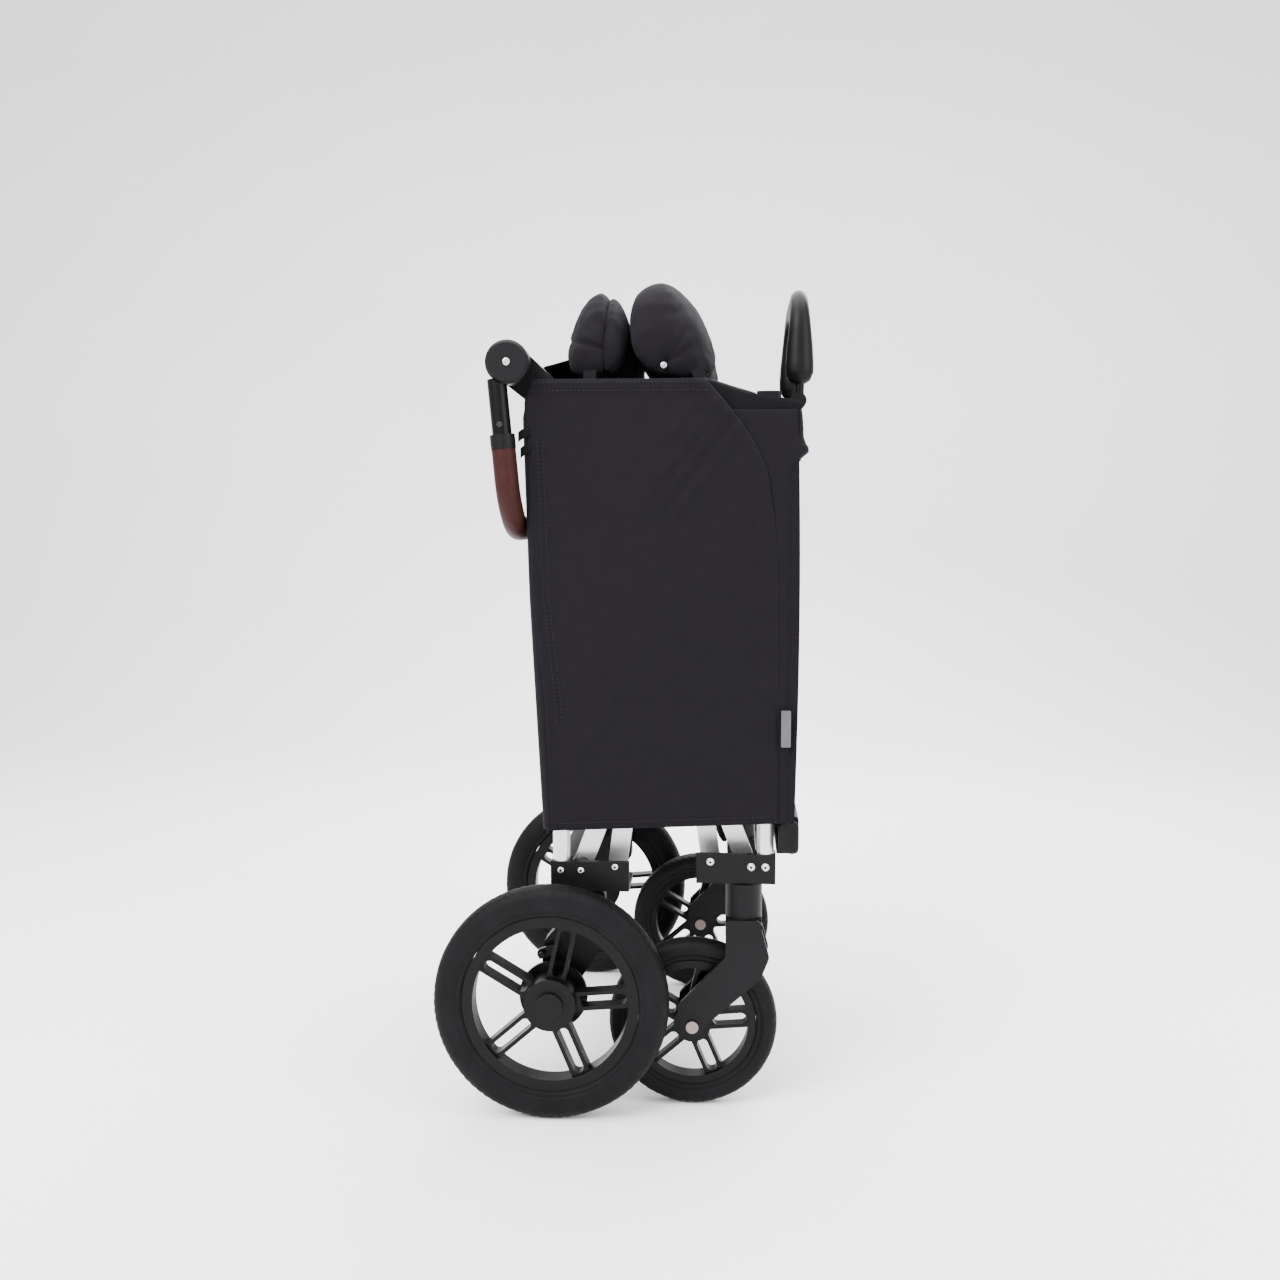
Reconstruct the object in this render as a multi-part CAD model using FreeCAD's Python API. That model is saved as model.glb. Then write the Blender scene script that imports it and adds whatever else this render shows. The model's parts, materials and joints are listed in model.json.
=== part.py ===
"""Wagon-type pet stroller, modelled folded.

Millimetres. +X is the direction of travel, +Y is the stroller's left, +Z is up.
The origin is under the middle of the folded stroller, on the floor.
The frame unfolds when the front frame slides forward by FOLD_TRAVEL. Scissor arms, sliders and
floor panels move with it.
"""
import FreeCAD, Part
import math
import os

V = FreeCAD.Vector

# Running gear
REAR_AXLE_X = -89.0
REAR_WHEEL_R = 150.0
REAR_WHEEL_Y = 280.0
REAR_TYRE_WIDTH = 40.0
WHEELBASE = 178.0
FRONT_AXLE_X = REAR_AXLE_X + WHEELBASE
FRONT_WHEEL_R = 109.0
FRONT_WHEEL_Y = 222.0
FRONT_TYRE_WIDTH = 34.0
CASTER_X = REAR_AXLE_X + 243.0
AXLE_R = 6.0
SPOKE_PAIRS = 5
FIRST_SPOKE_DEG = 5.0
BRAKE_RING_R = 44.0
BRAKE_X = REAR_AXLE_X - 2.0
BRAKE_Z = 205.0

# Frame and fold
FOLD_TRAVEL = 340.0
POST_R = 11.0
POST_WALL = 1.5
POST_Y = 229.0
POST_TOP_Z = 890.0
REAR_POST_X = REAR_AXLE_X + 8.0
FRONT_POST_X = REAR_AXLE_X + 270.0
PIVOT_Z = 312.0
REAR_ARM_X = REAR_POST_X + 26.0
FRONT_ARM_X = FRONT_POST_X - 24.0
ARM_LENGTH = 594.0
ARM_WIDTH = 25.0
ARM_THICK = 10.0
REAR_ARM_Y = 202.5
FRONT_ARM_Y = 191.5
FOLDED_ARM_DEG = math.degrees(math.acos((FRONT_ARM_X - REAR_ARM_X) / ARM_LENGTH))
SLIDER_Z = PIVOT_Z + ARM_LENGTH * math.sin(math.radians(FOLDED_ARM_DEG))

# Floor panels
REAR_PANEL_X = REAR_AXLE_X + 78.0
FRONT_PANEL_X = REAR_AXLE_X + 200.0
PANEL_LENGTH = 186.0
PANEL_TUBE_Y = 180.5
PANEL_LEAN_DEG = 82.0
MAT_HALF_WIDTH = 168.0

# Corner brackets
BRACKET_OUTER_Y = 241.0
BRACKET_INNER_Y = 171.0
REAR_BRACKET_Z = 282.0
FRONT_BRACKET_Z = 295.0
BRACKET_HEIGHT = 38.0
REAR_BRACKET_BASE = 8.0
FRONT_BRACKET_BASE = 4.0
BRACKET_LENGTH = 101.0
REAR_FOOT_Z = REAR_BRACKET_Z + REAR_BRACKET_BASE
FRONT_FOOT_Z = FRONT_BRACKET_Z + FRONT_BRACKET_BASE

# Covers
COVER_Y = 245.0
COVER_THICK = 7.0

# Push handle, hung down behind the stroller
HUB_X = REAR_AXLE_X - 51.0
HUB_Z = 950.0
HUB_R = 27.0
HANDLE_Y = 265.5
HANDLE_TUBE_R = 12.0
HANDLE_GRIP_R = 15.0
HANDLE_TOP_X = REAR_AXLE_X - 65.0
HANDLE_TOP_Z = 930.0
HANDLE_BOTTOM_X = REAR_AXLE_X - 48.0
HANDLE_BOTTOM_Z = 746.0
HANDLE_CORNER_R = 62.0
GRIP_START = 86.0
COLLAR_LENGTH = 18.0

# Hoods
REAR_HOOD_PIVOT = (REAR_AXLE_X + 44.0, 915.0)
FRONT_HOOD_PIVOT = (REAR_AXLE_X + 195.0, 915.0)
HOOD_HALF_WIDTH = 212.0
HOOD_CORNER_R = 70.0

# Front pull handle
PULL_X = REAR_AXLE_X + 311.0
PULL_PIVOT_Z = 913.0
RAIL_X = REAR_AXLE_X + 297.0
RAIL_Z = 897.0
RAIL_R = 8.0
PULL_HALF_WIDTH = 120.0
PULL_TOP_Z = 1053.0


def box(x0, x1, y0, y1, z0, z1):
    return Part.makeBox(x1 - x0, y1 - y0, z1 - z0, V(x0, y0, z0))


def rod_y(x, z, radius, y0, y1):
    return Part.makeCylinder(radius, y1 - y0, V(x, y0, z), V(0, 1, 0))


def rod_z(x, y, radius, z0, z1):
    return Part.makeCylinder(radius, z1 - z0, V(x, y, z0))


def prism_y(points, y0, y1):
    """Plate whose outline lies in the XZ plane, from y0 to y1."""
    corners = [V(x, y0, z) for x, z in points]
    face = Part.Face(Part.makePolygon(corners + corners[:1]))
    return face.extrude(V(0, y1 - y0, 0))


def edges_along(shape, direction):
    """Straight edges of a shape that run along a direction."""
    found = []
    for edge in shape.Edges:
        if len(edge.Vertexes) < 2:
            continue
        line = edge.Vertexes[1].Point - edge.Vertexes[0].Point
        if line.Length > 0.5 and abs(line.normalize().dot(direction)) > 0.999:
            found.append(edge)
    return found


def rounded_plate(points, y0, y1, radius):
    """Plate in the XZ plane with rounded corners."""
    plate = prism_y(points, y0, y1)
    return plate.makeFillet(radius, edges_along(plate, V(0, 1, 0)))


def stadium(x0, z0, x1, z1, width, y0, y1):
    """Bar of the given width with round ends, between two points of the XZ plane."""
    along = V(x1 - x0, 0, z1 - z0)
    side = V(-along.z, 0, along.x).normalize() * (width / 2)
    corners = [
        (x0 + side.x, z0 + side.z),
        (x1 + side.x, z1 + side.z),
        (x1 - side.x, z1 - side.z),
        (x0 - side.x, z0 - side.z),
    ]
    bar = prism_y(corners, y0, y1)
    ends = rod_y(x0, z0, width / 2, y0, y1).fuse(rod_y(x1, z1, width / 2, y0, y1))
    return bar.fuse(ends).removeSplitter()


def bent_path(points, radii):
    """Wire of straight runs joined by tangent arcs at the inner points."""
    edges = []
    start = points[0]
    for index in range(1, len(points) - 1):
        here = points[index]
        back = (points[index - 1] - here).normalize()
        ahead = (points[index + 1] - here).normalize()
        half_turn = back.getAngle(ahead) / 2
        radius = radii[index - 1]
        trim = radius / math.tan(half_turn)
        arc_start = here + back * trim
        arc_end = here + ahead * trim
        inward = (back + ahead).normalize()
        arc_middle = here + inward * (radius / math.sin(half_turn) - radius)
        edges.append(Part.LineSegment(start, arc_start).toShape())
        edges.append(Part.Arc(arc_start, arc_middle, arc_end).toShape())
        start = arc_end
    edges.append(Part.LineSegment(start, points[-1]).toShape())
    return Part.Wire(edges)


def swept(path, radius):
    """Round bar along a path."""
    first = path.Edges[0]
    start = first.valueAt(first.FirstParameter)
    heading = first.tangentAt(first.FirstParameter)
    circle = Part.Wire(Part.makeCircle(radius, start, heading))
    return path.makePipeShell([circle], True, False)


def mirrored(shape):
    """The same piece on the right side."""
    return shape.mirror(V(0, 0, 0), V(0, 1, 0))


def both_sides(shape):
    return Part.Compound([shape, mirrored(shape)])


def write(name, shape):
    shape.exportStep(os.path.join("parts", name + ".step"))


def write_pair(name, shape):
    """One node for each side of the stroller."""
    write(name + "_left", shape)
    write(name + "_right", mirrored(shape))


# Wheels


def tyre(x, z, y, radius, width):
    """Tyre with rounded shoulders, flat sidewall and a bead that sits on the rim."""
    half = width / 2
    bead_r = radius - 0.25 * radius
    profile = [
        V(x, y - half * 0.72, z + bead_r),
        V(x, y - half, z + bead_r + 9),
        V(x, y - half, z + radius - 12),
        V(x, y - half * 0.62, z + radius - 1.5),
        V(x, y - half * 0.3, z + radius),
        V(x, y + half * 0.3, z + radius),
        V(x, y + half * 0.62, z + radius - 1.5),
        V(x, y + half, z + radius - 12),
        V(x, y + half, z + bead_r + 9),
        V(x, y + half * 0.72, z + bead_r),
    ]
    face = Part.Face(Part.makePolygon(profile + profile[:1]))
    return face.revolve(V(x, y, z), V(0, 1, 0), 360)


def spoked_rim(x, z, y, radius, width, hub_in, hub_out, hub_r):
    """Rim ring, hub barrel and pairs of parallel spokes. The bore is blind at the hub cap."""
    seat_r = radius - 0.25 * radius - 0.2
    inner_r = seat_r - 0.09 * radius
    half = width * 0.36
    ring = rod_y(x, z, seat_r, y - half, y + half).cut(rod_y(x, z, inner_r, y - half - 1, y + half + 1))
    spokes = None
    for index in range(SPOKE_PAIRS):
        turn = math.radians(FIRST_SPOKE_DEG + index * 360.0 / SPOKE_PAIRS)
        cos, sin = math.cos(turn), math.sin(turn)
        reach = inner_r + 2
        bar = prism_y(
            [
                (x + 20 * cos - 12 * sin, z + 20 * sin + 12 * cos),
                (x + reach * cos - 12 * sin, z + reach * sin + 12 * cos),
                (x + reach * cos + 12 * sin, z + reach * sin - 12 * cos),
                (x + 20 * cos + 12 * sin, z + 20 * sin - 12 * cos),
            ],
            y - half * 0.7,
            y + half * 0.7,
        )
        slot_in = hub_r + 9
        slot_out = inner_r - 9
        slot = stadium(
            x + slot_in * cos,
            z + slot_in * sin,
            x + slot_out * cos,
            z + slot_out * sin,
            14.0,
            y - half,
            y + half,
        )
        bar = bar.cut(slot)
        spokes = bar if spokes is None else spokes.fuse(bar)
    hub = rod_y(x, z, hub_r, min(hub_in, hub_out), max(hub_in, hub_out))
    rim = ring.fuse(spokes).fuse(hub).removeSplitter()
    return rim


def rear_wheels():
    z = REAR_WHEEL_R
    y = REAR_WHEEL_Y
    rim = spoked_rim(REAR_AXLE_X, z, y, REAR_WHEEL_R, REAR_TYRE_WIDTH, y - 21, y + 19, 33.0)
    cap = rod_y(REAR_AXLE_X, z, 17.0, y + 19, y + 24)
    brake_ring = rod_y(REAR_AXLE_X, z, BRAKE_RING_R, y - 27, y - 21)
    bore = rod_y(REAR_AXLE_X, z, AXLE_R + 0.4, y - 28, y + 20)
    rim = rim.fuse(cap).fuse(brake_ring).cut(bore)
    write_pair("rear_rim", rim)
    write_pair("rear_tyre", tyre(REAR_AXLE_X, z, y, REAR_WHEEL_R, REAR_TYRE_WIDTH))


def front_wheels():
    z = FRONT_WHEEL_R
    y = FRONT_WHEEL_Y
    rim = spoked_rim(FRONT_AXLE_X, z, y, FRONT_WHEEL_R, FRONT_TYRE_WIDTH, y - 17.5, y + 17.5, 24.0)
    rim = rim.cut(rod_y(FRONT_AXLE_X, z, AXLE_R + 0.4, y - 18, y + 18))
    write_pair("front_rim", rim)
    write_pair("front_tyre", tyre(FRONT_AXLE_X, z, y, FRONT_WHEEL_R, FRONT_TYRE_WIDTH))


# Front forks


def fork():
    """Swivelling fork: round crown and kingpin, a leg on each side of the wheel, round axle ends."""
    y = FRONT_WHEEL_Y
    z = FRONT_WHEEL_R
    crown_under = 2 * FRONT_WHEEL_R + 5
    leg_outline = [
        (CASTER_X - 23, crown_under + 26),
        (CASTER_X - 23, z + 92),
        (FRONT_AXLE_X - 19, z + 27),
        (FRONT_AXLE_X - 14, z - 9),
        (FRONT_AXLE_X + 10, z - 12),
        (FRONT_AXLE_X + 22, z + 6),
        (CASTER_X + 22, z + 64),
        (CASTER_X + 33, z + 92),
        (CASTER_X + 23, z + 128),
        (CASTER_X + 23, crown_under + 26),
    ]
    legs = None
    for inner, outer in ((-27.5, -19.0), (19.0, 27.5)):
        leg = rounded_plate(leg_outline, y + inner, y + outer, 7.0)
        boss = rod_y(FRONT_AXLE_X + 2, z + 19, 21.0, y + inner, y + outer)
        leg = leg.fuse(boss)
        legs = leg if legs is None else legs.fuse(leg)
    crown = rod_z(CASTER_X, y, 23.5, crown_under, FRONT_BRACKET_Z - 1.0)
    bridge = box(CASTER_X - 23, CASTER_X + 23, y - 20, y + 20, crown_under, crown_under + 26)
    kingpin = rod_z(CASTER_X, y, 6.0, FRONT_BRACKET_Z - 1.0, FRONT_BRACKET_Z + 3.4)
    body = legs.fuse(crown).fuse(bridge).fuse(kingpin).removeSplitter()
    return body.cut(rod_y(FRONT_AXLE_X, z, AXLE_R + 0.05, y - 30, y + 30))


def wheel_bolt():
    """Bolt through the fork and the front wheel, with a domed head and a nut."""
    y = FRONT_WHEEL_Y
    shank = rod_y(FRONT_AXLE_X, FRONT_WHEEL_R, AXLE_R, y - 27.5, y + 27.5)
    head = rod_y(FRONT_AXLE_X, FRONT_WHEEL_R, 8.0, y + 27.5, y + 31.5)
    nut = rod_y(FRONT_AXLE_X, FRONT_WHEEL_R, 8.5, y - 31.5, y - 27.5)
    return shank.fuse(head).fuse(nut)


# Rear frame


def post(x, foot_z):
    tube = rod_z(x, POST_Y, POST_R, foot_z, POST_TOP_Z)
    return tube.cut(rod_z(x, POST_Y, POST_R - POST_WALL, foot_z, POST_TOP_Z))


def bracket(post_x, inward, floor_z, base, arm_x, arm_face_y, panel_x):
    """Open corner bracket: base plate, post socket, outer wall and the pivot bosses.

    inward is +1 when the bracket reaches forward from its post and -1 when it reaches back.
    """
    top = floor_z + BRACKET_HEIGHT
    outer_end = post_x - inward * 13.0
    inner_end = outer_end + inward * BRACKET_LENGTH
    socket_end = post_x + inward * 13.5
    low, high = sorted((outer_end, inner_end))
    body = box(low, high, BRACKET_INNER_Y, BRACKET_OUTER_Y, floor_z, floor_z + base)
    body = body.makeFillet(6.0, edges_along(body, V(0, 0, 1)))
    low, high = sorted((outer_end, socket_end))
    socket = box(low, high, POST_Y - 15, BRACKET_OUTER_Y, floor_z, top)
    low, high = sorted((outer_end, inner_end))
    wall = box(low, high, BRACKET_OUTER_Y - 9, BRACKET_OUTER_Y, floor_z, top)
    body = body.fuse(socket).fuse(wall)
    arm_boss = rod_y(arm_x, PIVOT_Z, 8.0, arm_face_y, BRACKET_OUTER_Y - 5)
    lug = rounded_plate(
        [
            (panel_x - 12, floor_z),
            (panel_x + 12, floor_z),
            (panel_x + 12, PIVOT_Z + 11),
            (panel_x - 12, PIVOT_Z + 11),
        ],
        BRACKET_INNER_Y,
        PANEL_TUBE_Y - 1.0,
        5.0,
    )
    body = body.fuse(arm_boss).fuse(lug).removeSplitter()
    return body.cut(rod_z(post_x, POST_Y, POST_R + 0.1, floor_z + base, top + 1))


def rear_bracket():
    arm_face = REAR_ARM_Y + ARM_THICK + 0.5
    return bracket(REAR_POST_X, 1, REAR_BRACKET_Z, REAR_BRACKET_BASE, REAR_ARM_X, arm_face, REAR_PANEL_X)


def front_bracket():
    arm_face = FRONT_ARM_Y + ARM_THICK + 0.5
    body = bracket(
        FRONT_POST_X, -1, FRONT_BRACKET_Z, FRONT_BRACKET_BASE, FRONT_ARM_X, arm_face, FRONT_PANEL_X
    )
    kingpin_hole = rod_z(CASTER_X, FRONT_WHEEL_Y, 6.4, FRONT_BRACKET_Z - 1, FRONT_BRACKET_Z + 4.5)
    return body.cut(kingpin_hole)


def cross_beam(x, low_z):
    """Square tube between the left and right post sockets."""
    reach = POST_Y - 15
    beam = box(x - 10, x + 10, -reach, reach, low_z, low_z + 20)
    hollow = box(x - 8, x + 8, -reach, reach, low_z + 2, low_z + 18)
    return beam.cut(hollow)


def bolt_heads(places, radius, height):
    """Domed bolt heads on the outer face of a bracket."""
    heads = []
    for x, z in places:
        head = rod_y(x, z, radius, BRACKET_OUTER_Y, BRACKET_OUTER_Y + height)
        heads.append(head.makeChamfer(height * 0.5, [head.Edges[0]]))
    return Part.Compound(heads + [mirrored(head) for head in heads])


def rear_leg():
    """Cast leg from the rear bracket down to the axle."""
    x = REAR_AXLE_X
    outline = [
        (x + 16, REAR_BRACKET_Z),
        (x + 64, REAR_BRACKET_Z),
        (x + 66, 216),
        (x + 34, 166),
        (x + 15, 136),
        (x - 15, 136),
        (x - 20, 164),
        (x - 14, 214),
        (x + 12, 244),
    ]
    leg = rounded_plate(outline, 211.0, 235.0, 8.0)
    leg = leg.cut(rod_y(x, REAR_WHEEL_R, AXLE_R + 0.05, 200, 240))
    return leg.cut(rod_y(BRAKE_X, BRAKE_Z, 6.5, 200, 240))


def rear_axle():
    reach = REAR_WHEEL_Y + 18
    return rod_y(REAR_AXLE_X, REAR_WHEEL_R, AXLE_R, -reach, reach)


def brake_pedal():
    """Brake bar across the rear legs, its pedal plate and a pin above each wheel's brake ring."""
    reach = 247.0
    bar = rod_y(BRAKE_X, BRAKE_Z, 6.0, -reach, reach)
    pedal = rounded_plate(
        [
            (BRAKE_X - 4, BRAKE_Z + 7),
            (BRAKE_X - 36, BRAKE_Z - 1),
            (BRAKE_X - 44, BRAKE_Z - 9),
            (BRAKE_X - 38, BRAKE_Z - 13),
            (BRAKE_X - 4, BRAKE_Z - 5),
        ],
        -70.0,
        70.0,
        2.0,
    )
    body = bar.fuse(pedal)
    for side in (1, -1):
        low, high = sorted((side * 239.5, side * reach))
        arm = stadium(BRAKE_X, BRAKE_Z, BRAKE_X - 14, BRAKE_Z - 5, 13.0, low, high)
        pin_low, pin_high = sorted((side * reach, side * 256.0))
        pin = rod_y(BRAKE_X - 14, BRAKE_Z - 5, 4.0, pin_low, pin_high)
        body = body.fuse(arm).fuse(pin)
    return body.removeSplitter()


# Push handle


def hub_base():
    """Fixed half of the handle hub with the housing that holds it on the rear post."""
    plug_top = POST_TOP_Z + 24
    disc = rod_y(HUB_X, HUB_Z, 24.0, 222.0, 251.0)
    neck = rounded_plate(
        [
            (HUB_X - 12, HUB_Z - 20),
            (HUB_X + 14, HUB_Z + 20),
            (REAR_POST_X + 14, plug_top),
            (REAR_POST_X + 14, POST_TOP_Z + 0.2),
            (REAR_POST_X - 20, POST_TOP_Z + 0.2),
        ],
        217.0,
        242.0,
        6.0,
    )
    plug = rod_z(REAR_POST_X, POST_Y, POST_R - POST_WALL - 0.1, POST_TOP_Z - 30, POST_TOP_Z + 4)
    body = disc.fuse(neck).fuse(plug).removeSplitter()
    return body.cut(rod_y(HUB_X, HUB_Z, 12.4, 216.0, 236.0))


def handle_path():
    """Centre line of the push handle from the left hub round to the right hub."""
    return bent_path(
        [
            V(HANDLE_TOP_X, HANDLE_Y, HANDLE_TOP_Z),
            V(HANDLE_BOTTOM_X, HANDLE_Y, HANDLE_BOTTOM_Z),
            V(HANDLE_BOTTOM_X, -HANDLE_Y, HANDLE_BOTTOM_Z),
            V(HANDLE_TOP_X, -HANDLE_Y, HANDLE_TOP_Z),
        ],
        [HANDLE_CORNER_R, HANDLE_CORNER_R],
    )


def on_handle_arm(distance):
    """Point of the left handle arm at a distance below its top."""
    top = V(HANDLE_TOP_X, HANDLE_Y, HANDLE_TOP_Z)
    down = V(HANDLE_BOTTOM_X - HANDLE_TOP_X, 0, HANDLE_BOTTOM_Z - HANDLE_TOP_Z).normalize()
    return top + down * distance, down


def grip_path():
    start, _ = on_handle_arm(GRIP_START)
    end = V(start.x, -start.y, start.z)
    return bent_path(
        [
            start,
            V(HANDLE_BOTTOM_X, HANDLE_Y, HANDLE_BOTTOM_Z),
            V(HANDLE_BOTTOM_X, -HANDLE_Y, HANDLE_BOTTOM_Z),
            end,
        ],
        [HANDLE_CORNER_R, HANDLE_CORNER_R],
    )


def push_handle():
    """U-shaped handle tube with a hub disc on each arm, its leather grip, collars and screws."""
    hub_cut = rod_y(HUB_X, HUB_Z, HUB_R + 0.1, HANDLE_Y - 13.5, HANDLE_Y + 13.0)
    tube = swept(handle_path(), HANDLE_TUBE_R)
    tube = tube.cut(hub_cut).cut(mirrored(hub_cut))
    arm_point, down = on_handle_arm(56.0)
    face = HANDLE_Y + HANDLE_TUBE_R
    arm_screw = rod_y(arm_point.x, arm_point.z, 3.5, face - 0.6, face + 1.2)
    write("push_handle_tube", tube.cut(both_sides(arm_screw)))

    leather = swept(grip_path(), HANDLE_GRIP_R).cut(swept(handle_path(), HANDLE_TUBE_R + 0.1))
    write("leather_grip", leather)

    start, down = on_handle_arm(GRIP_START - COLLAR_LENGTH)
    collar = Part.makeCylinder(HANDLE_GRIP_R + 0.6, COLLAR_LENGTH - 0.2, start, down)
    collar = collar.cut(Part.makeCylinder(HANDLE_TUBE_R + 0.05, COLLAR_LENGTH, start, down))
    write("grip_collars", both_sides(collar))

    disc = rod_y(HUB_X, HUB_Z, HUB_R, HANDLE_Y - 13.0, HANDLE_Y + 12.5)
    flat_edges = [e for e in disc.Edges if e.BoundBox.YLength < 0.1]
    outer_edge = [e for e in flat_edges if abs(e.BoundBox.YMin - HANDLE_Y - 12.5) < 0.1]
    disc = disc.makeChamfer(3.5, outer_edge)
    disc = disc.cut(rod_y(HUB_X, HUB_Z, 3.4, HANDLE_Y + 8.0, HANDLE_Y + 13.0))
    write("hub_covers", both_sides(disc))

    screw = rod_y(HUB_X, HUB_Z, 3.3, HANDLE_Y + 8.0, HANDLE_Y + 13.0)
    write("handle_screws", both_sides(Part.Compound([screw, arm_screw])))

    button = rod_y(HUB_X, HUB_Z, 12.0, 211.0, 229.0)
    button = button.makeFillet(2.0, [e for e in button.Edges if e.BoundBox.YMax < 211.5])
    write_pair("hub_button", button)


# Scissor arms and sliders


def scissor_arm(foot_x, head_x, y0):
    """Flat-oval arm with a rivet at its foot, its middle and its head."""
    head_z = SLIDER_Z
    arm = stadium(foot_x, PIVOT_Z, head_x, head_z, ARM_WIDTH, y0, y0 + ARM_THICK)
    hollow = stadium(foot_x, PIVOT_Z, head_x, head_z, ARM_WIDTH - 4, y0 + 2, y0 + ARM_THICK - 2)
    return arm.cut(hollow)


def slider(post_x, pivot_x, boss_y):
    """Block that slides on a post, with a lug and a boss that reach the head of a scissor arm."""
    sleeve = box(post_x - 14, post_x + 14, POST_Y - 15, POST_Y + 14.5, SLIDER_Z - 19, SLIDER_Z + 19)
    sleeve = sleeve.makeFillet(5.0, edges_along(sleeve, V(0, 0, 1)))
    lug = stadium(post_x, SLIDER_Z, pivot_x, SLIDER_Z, 26.0, POST_Y - 15, POST_Y - 3)
    boss = rod_y(pivot_x, SLIDER_Z, 9.0, boss_y, POST_Y - 14)
    body = sleeve.fuse(lug).fuse(boss).removeSplitter()
    return body.cut(rod_z(post_x, POST_Y, POST_R + 0.4, SLIDER_Z - 20, SLIDER_Z + 20))


def arm_rivets():
    """Rivet heads on the inner face of the rear arms, at the foot, the middle and the head."""
    middle_x = (REAR_ARM_X + FRONT_ARM_X) / 2
    middle_z = (PIVOT_Z + SLIDER_Z) / 2
    face = REAR_ARM_Y + ARM_THICK
    heads = [rod_y(x, z, 7.0, face, face + 1.5) for x, z in ((middle_x, middle_z),)]
    return both_sides(Part.Compound(heads))


# Floor panels


def floor_panel(pivot_x, inward):
    """Panel frame and its mat, standing up in the folded stroller."""
    def span(near, far):
        return sorted((pivot_x + inward * near, pivot_x + inward * far))

    x0, x1 = span(0, PANEL_LENGTH - 12.5)
    side = stadium(x0, PIVOT_Z, x1, PIVOT_Z, ARM_WIDTH, PANEL_TUBE_Y, PANEL_TUBE_Y + ARM_THICK)
    frame = side.fuse(mirrored(side))
    for near, far in ((44, 62), (PANEL_LENGTH - 22, PANEL_LENGTH - 4)):
        x0, x1 = span(near, far)
        frame = frame.fuse(box(x0, x1, -PANEL_TUBE_Y - 1, PANEL_TUBE_Y + 1, PIVOT_Z - 7, PIVOT_Z + 7))
    x0, x1 = span(34, PANEL_LENGTH - 2)
    board = box(x0, x1, -PANEL_TUBE_Y - 1, PANEL_TUBE_Y + 1, PIVOT_Z + 7, PIVOT_Z + 12)
    frame = frame.fuse(board).removeSplitter()
    x0, x1 = span(10, PANEL_LENGTH)
    mat = box(x0, x1, -MAT_HALF_WIDTH, MAT_HALF_WIDTH, PIVOT_Z + 13.0, PIVOT_Z + 26.0)
    mat = mat.makeFillet(4.0, edges_along(mat, V(0, 1, 0)))
    pivot = V(pivot_x, 0, PIVOT_Z)
    for piece in (frame, mat):
        piece.rotate(pivot, V(0, 1, 0), -inward * PANEL_LEAN_DEG)
    return frame, mat


# Rails, covers and hoods


def rear_top_bar():
    reach = 217.0
    x = REAR_AXLE_X - 20
    bar = rod_y(x, 908.0, 8.0, -reach, reach)
    return bar.cut(rod_y(x, 908.0, 6.5, -reach, reach))


def hood_mount():
    """Plastic arm on the hub housing that carries the rear hood."""
    x, z = REAR_HOOD_PIVOT
    start = REAR_POST_X + 14
    arm = prism_y([(start, z - 14), (x, z - 10), (x, z + 10), (start, z - 4)], 219.0, 233.0)
    return arm.fuse(rod_y(x, z, 10.0, 219.0, 233.0)).removeSplitter()


def rail_path():
    x = REAR_AXLE_X
    return bent_path(
        [
            V(x + 188, POST_Y, 924),
            V(x + 238, POST_Y, 907),
            V(RAIL_X, POST_Y, RAIL_Z),
            V(RAIL_X, -POST_Y, RAIL_Z),
            V(x + 238, -POST_Y, 907),
            V(x + 188, -POST_Y, 924),
        ],
        [60.0, 24.0, 24.0, 60.0],
    )


def front_top_rail():
    return swept(rail_path(), RAIL_R).cut(swept(rail_path(), RAIL_R - POST_WALL))


def corner_joint():
    """Moulded joint between a front post and the top rail."""
    x = FRONT_POST_X
    joint = box(x - 15, x + 15, POST_Y - 14, POST_Y + 14, POST_TOP_Z - 0.5, 916.0)
    joint = joint.makeFillet(5.0, edges_along(joint, V(0, 0, 1)))
    plug = rod_z(x, POST_Y, POST_R - POST_WALL - 0.1, POST_TOP_Z - 24, POST_TOP_Z)
    joint = joint.cut(rod_z(x, POST_Y, POST_R, POST_TOP_Z - 1, POST_TOP_Z)).fuse(plug)
    return joint.cut(swept(rail_path(), RAIL_R + 0.05))


def side_cover():
    """Outer layer of the folded side fabric."""
    x = REAR_AXLE_X
    outline = [
        (x - 2, 363),
        (x - 10, 530),
        (x - 24, 657),
        (x - 33, 905),
        (x - 22, 930),
        (x + 191, 931),
        (x + 234, 876),
        (x + 268, 819),
        (x + 281, 708),
        (x + 284, 378),
    ]
    return prism_y(outline, COVER_Y, COVER_Y + COVER_THICK)


def rear_wall():
    x = REAR_AXLE_X
    outline = [(x - 3, 345), (x - 24, 657), (x - 34, 896), (x - 26, 896), (x - 16, 657), (x + 5, 345)]
    return prism_y(outline, -216.0, 216.0)


def front_wall():
    """Front fabric with a short return on each side."""
    x = REAR_AXLE_X
    outline = [
        (x + 290, 345), (x + 301, 345), (x + 306, 657), (x + 316, 884), (x + 304, 884), (x + 295, 657),
    ]
    wall = prism_y(outline, -COVER_Y - COVER_THICK, COVER_Y + COVER_THICK)
    outline = [
        (x + 286, 345), (x + 291, 345), (x + 296, 657), (x + 305, 884), (x + 288, 884), (x + 286, 657),
    ]
    lip = prism_y(outline, COVER_Y, COVER_Y + COVER_THICK)
    return wall.fuse(lip).fuse(mirrored(lip)).removeSplitter()


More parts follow.
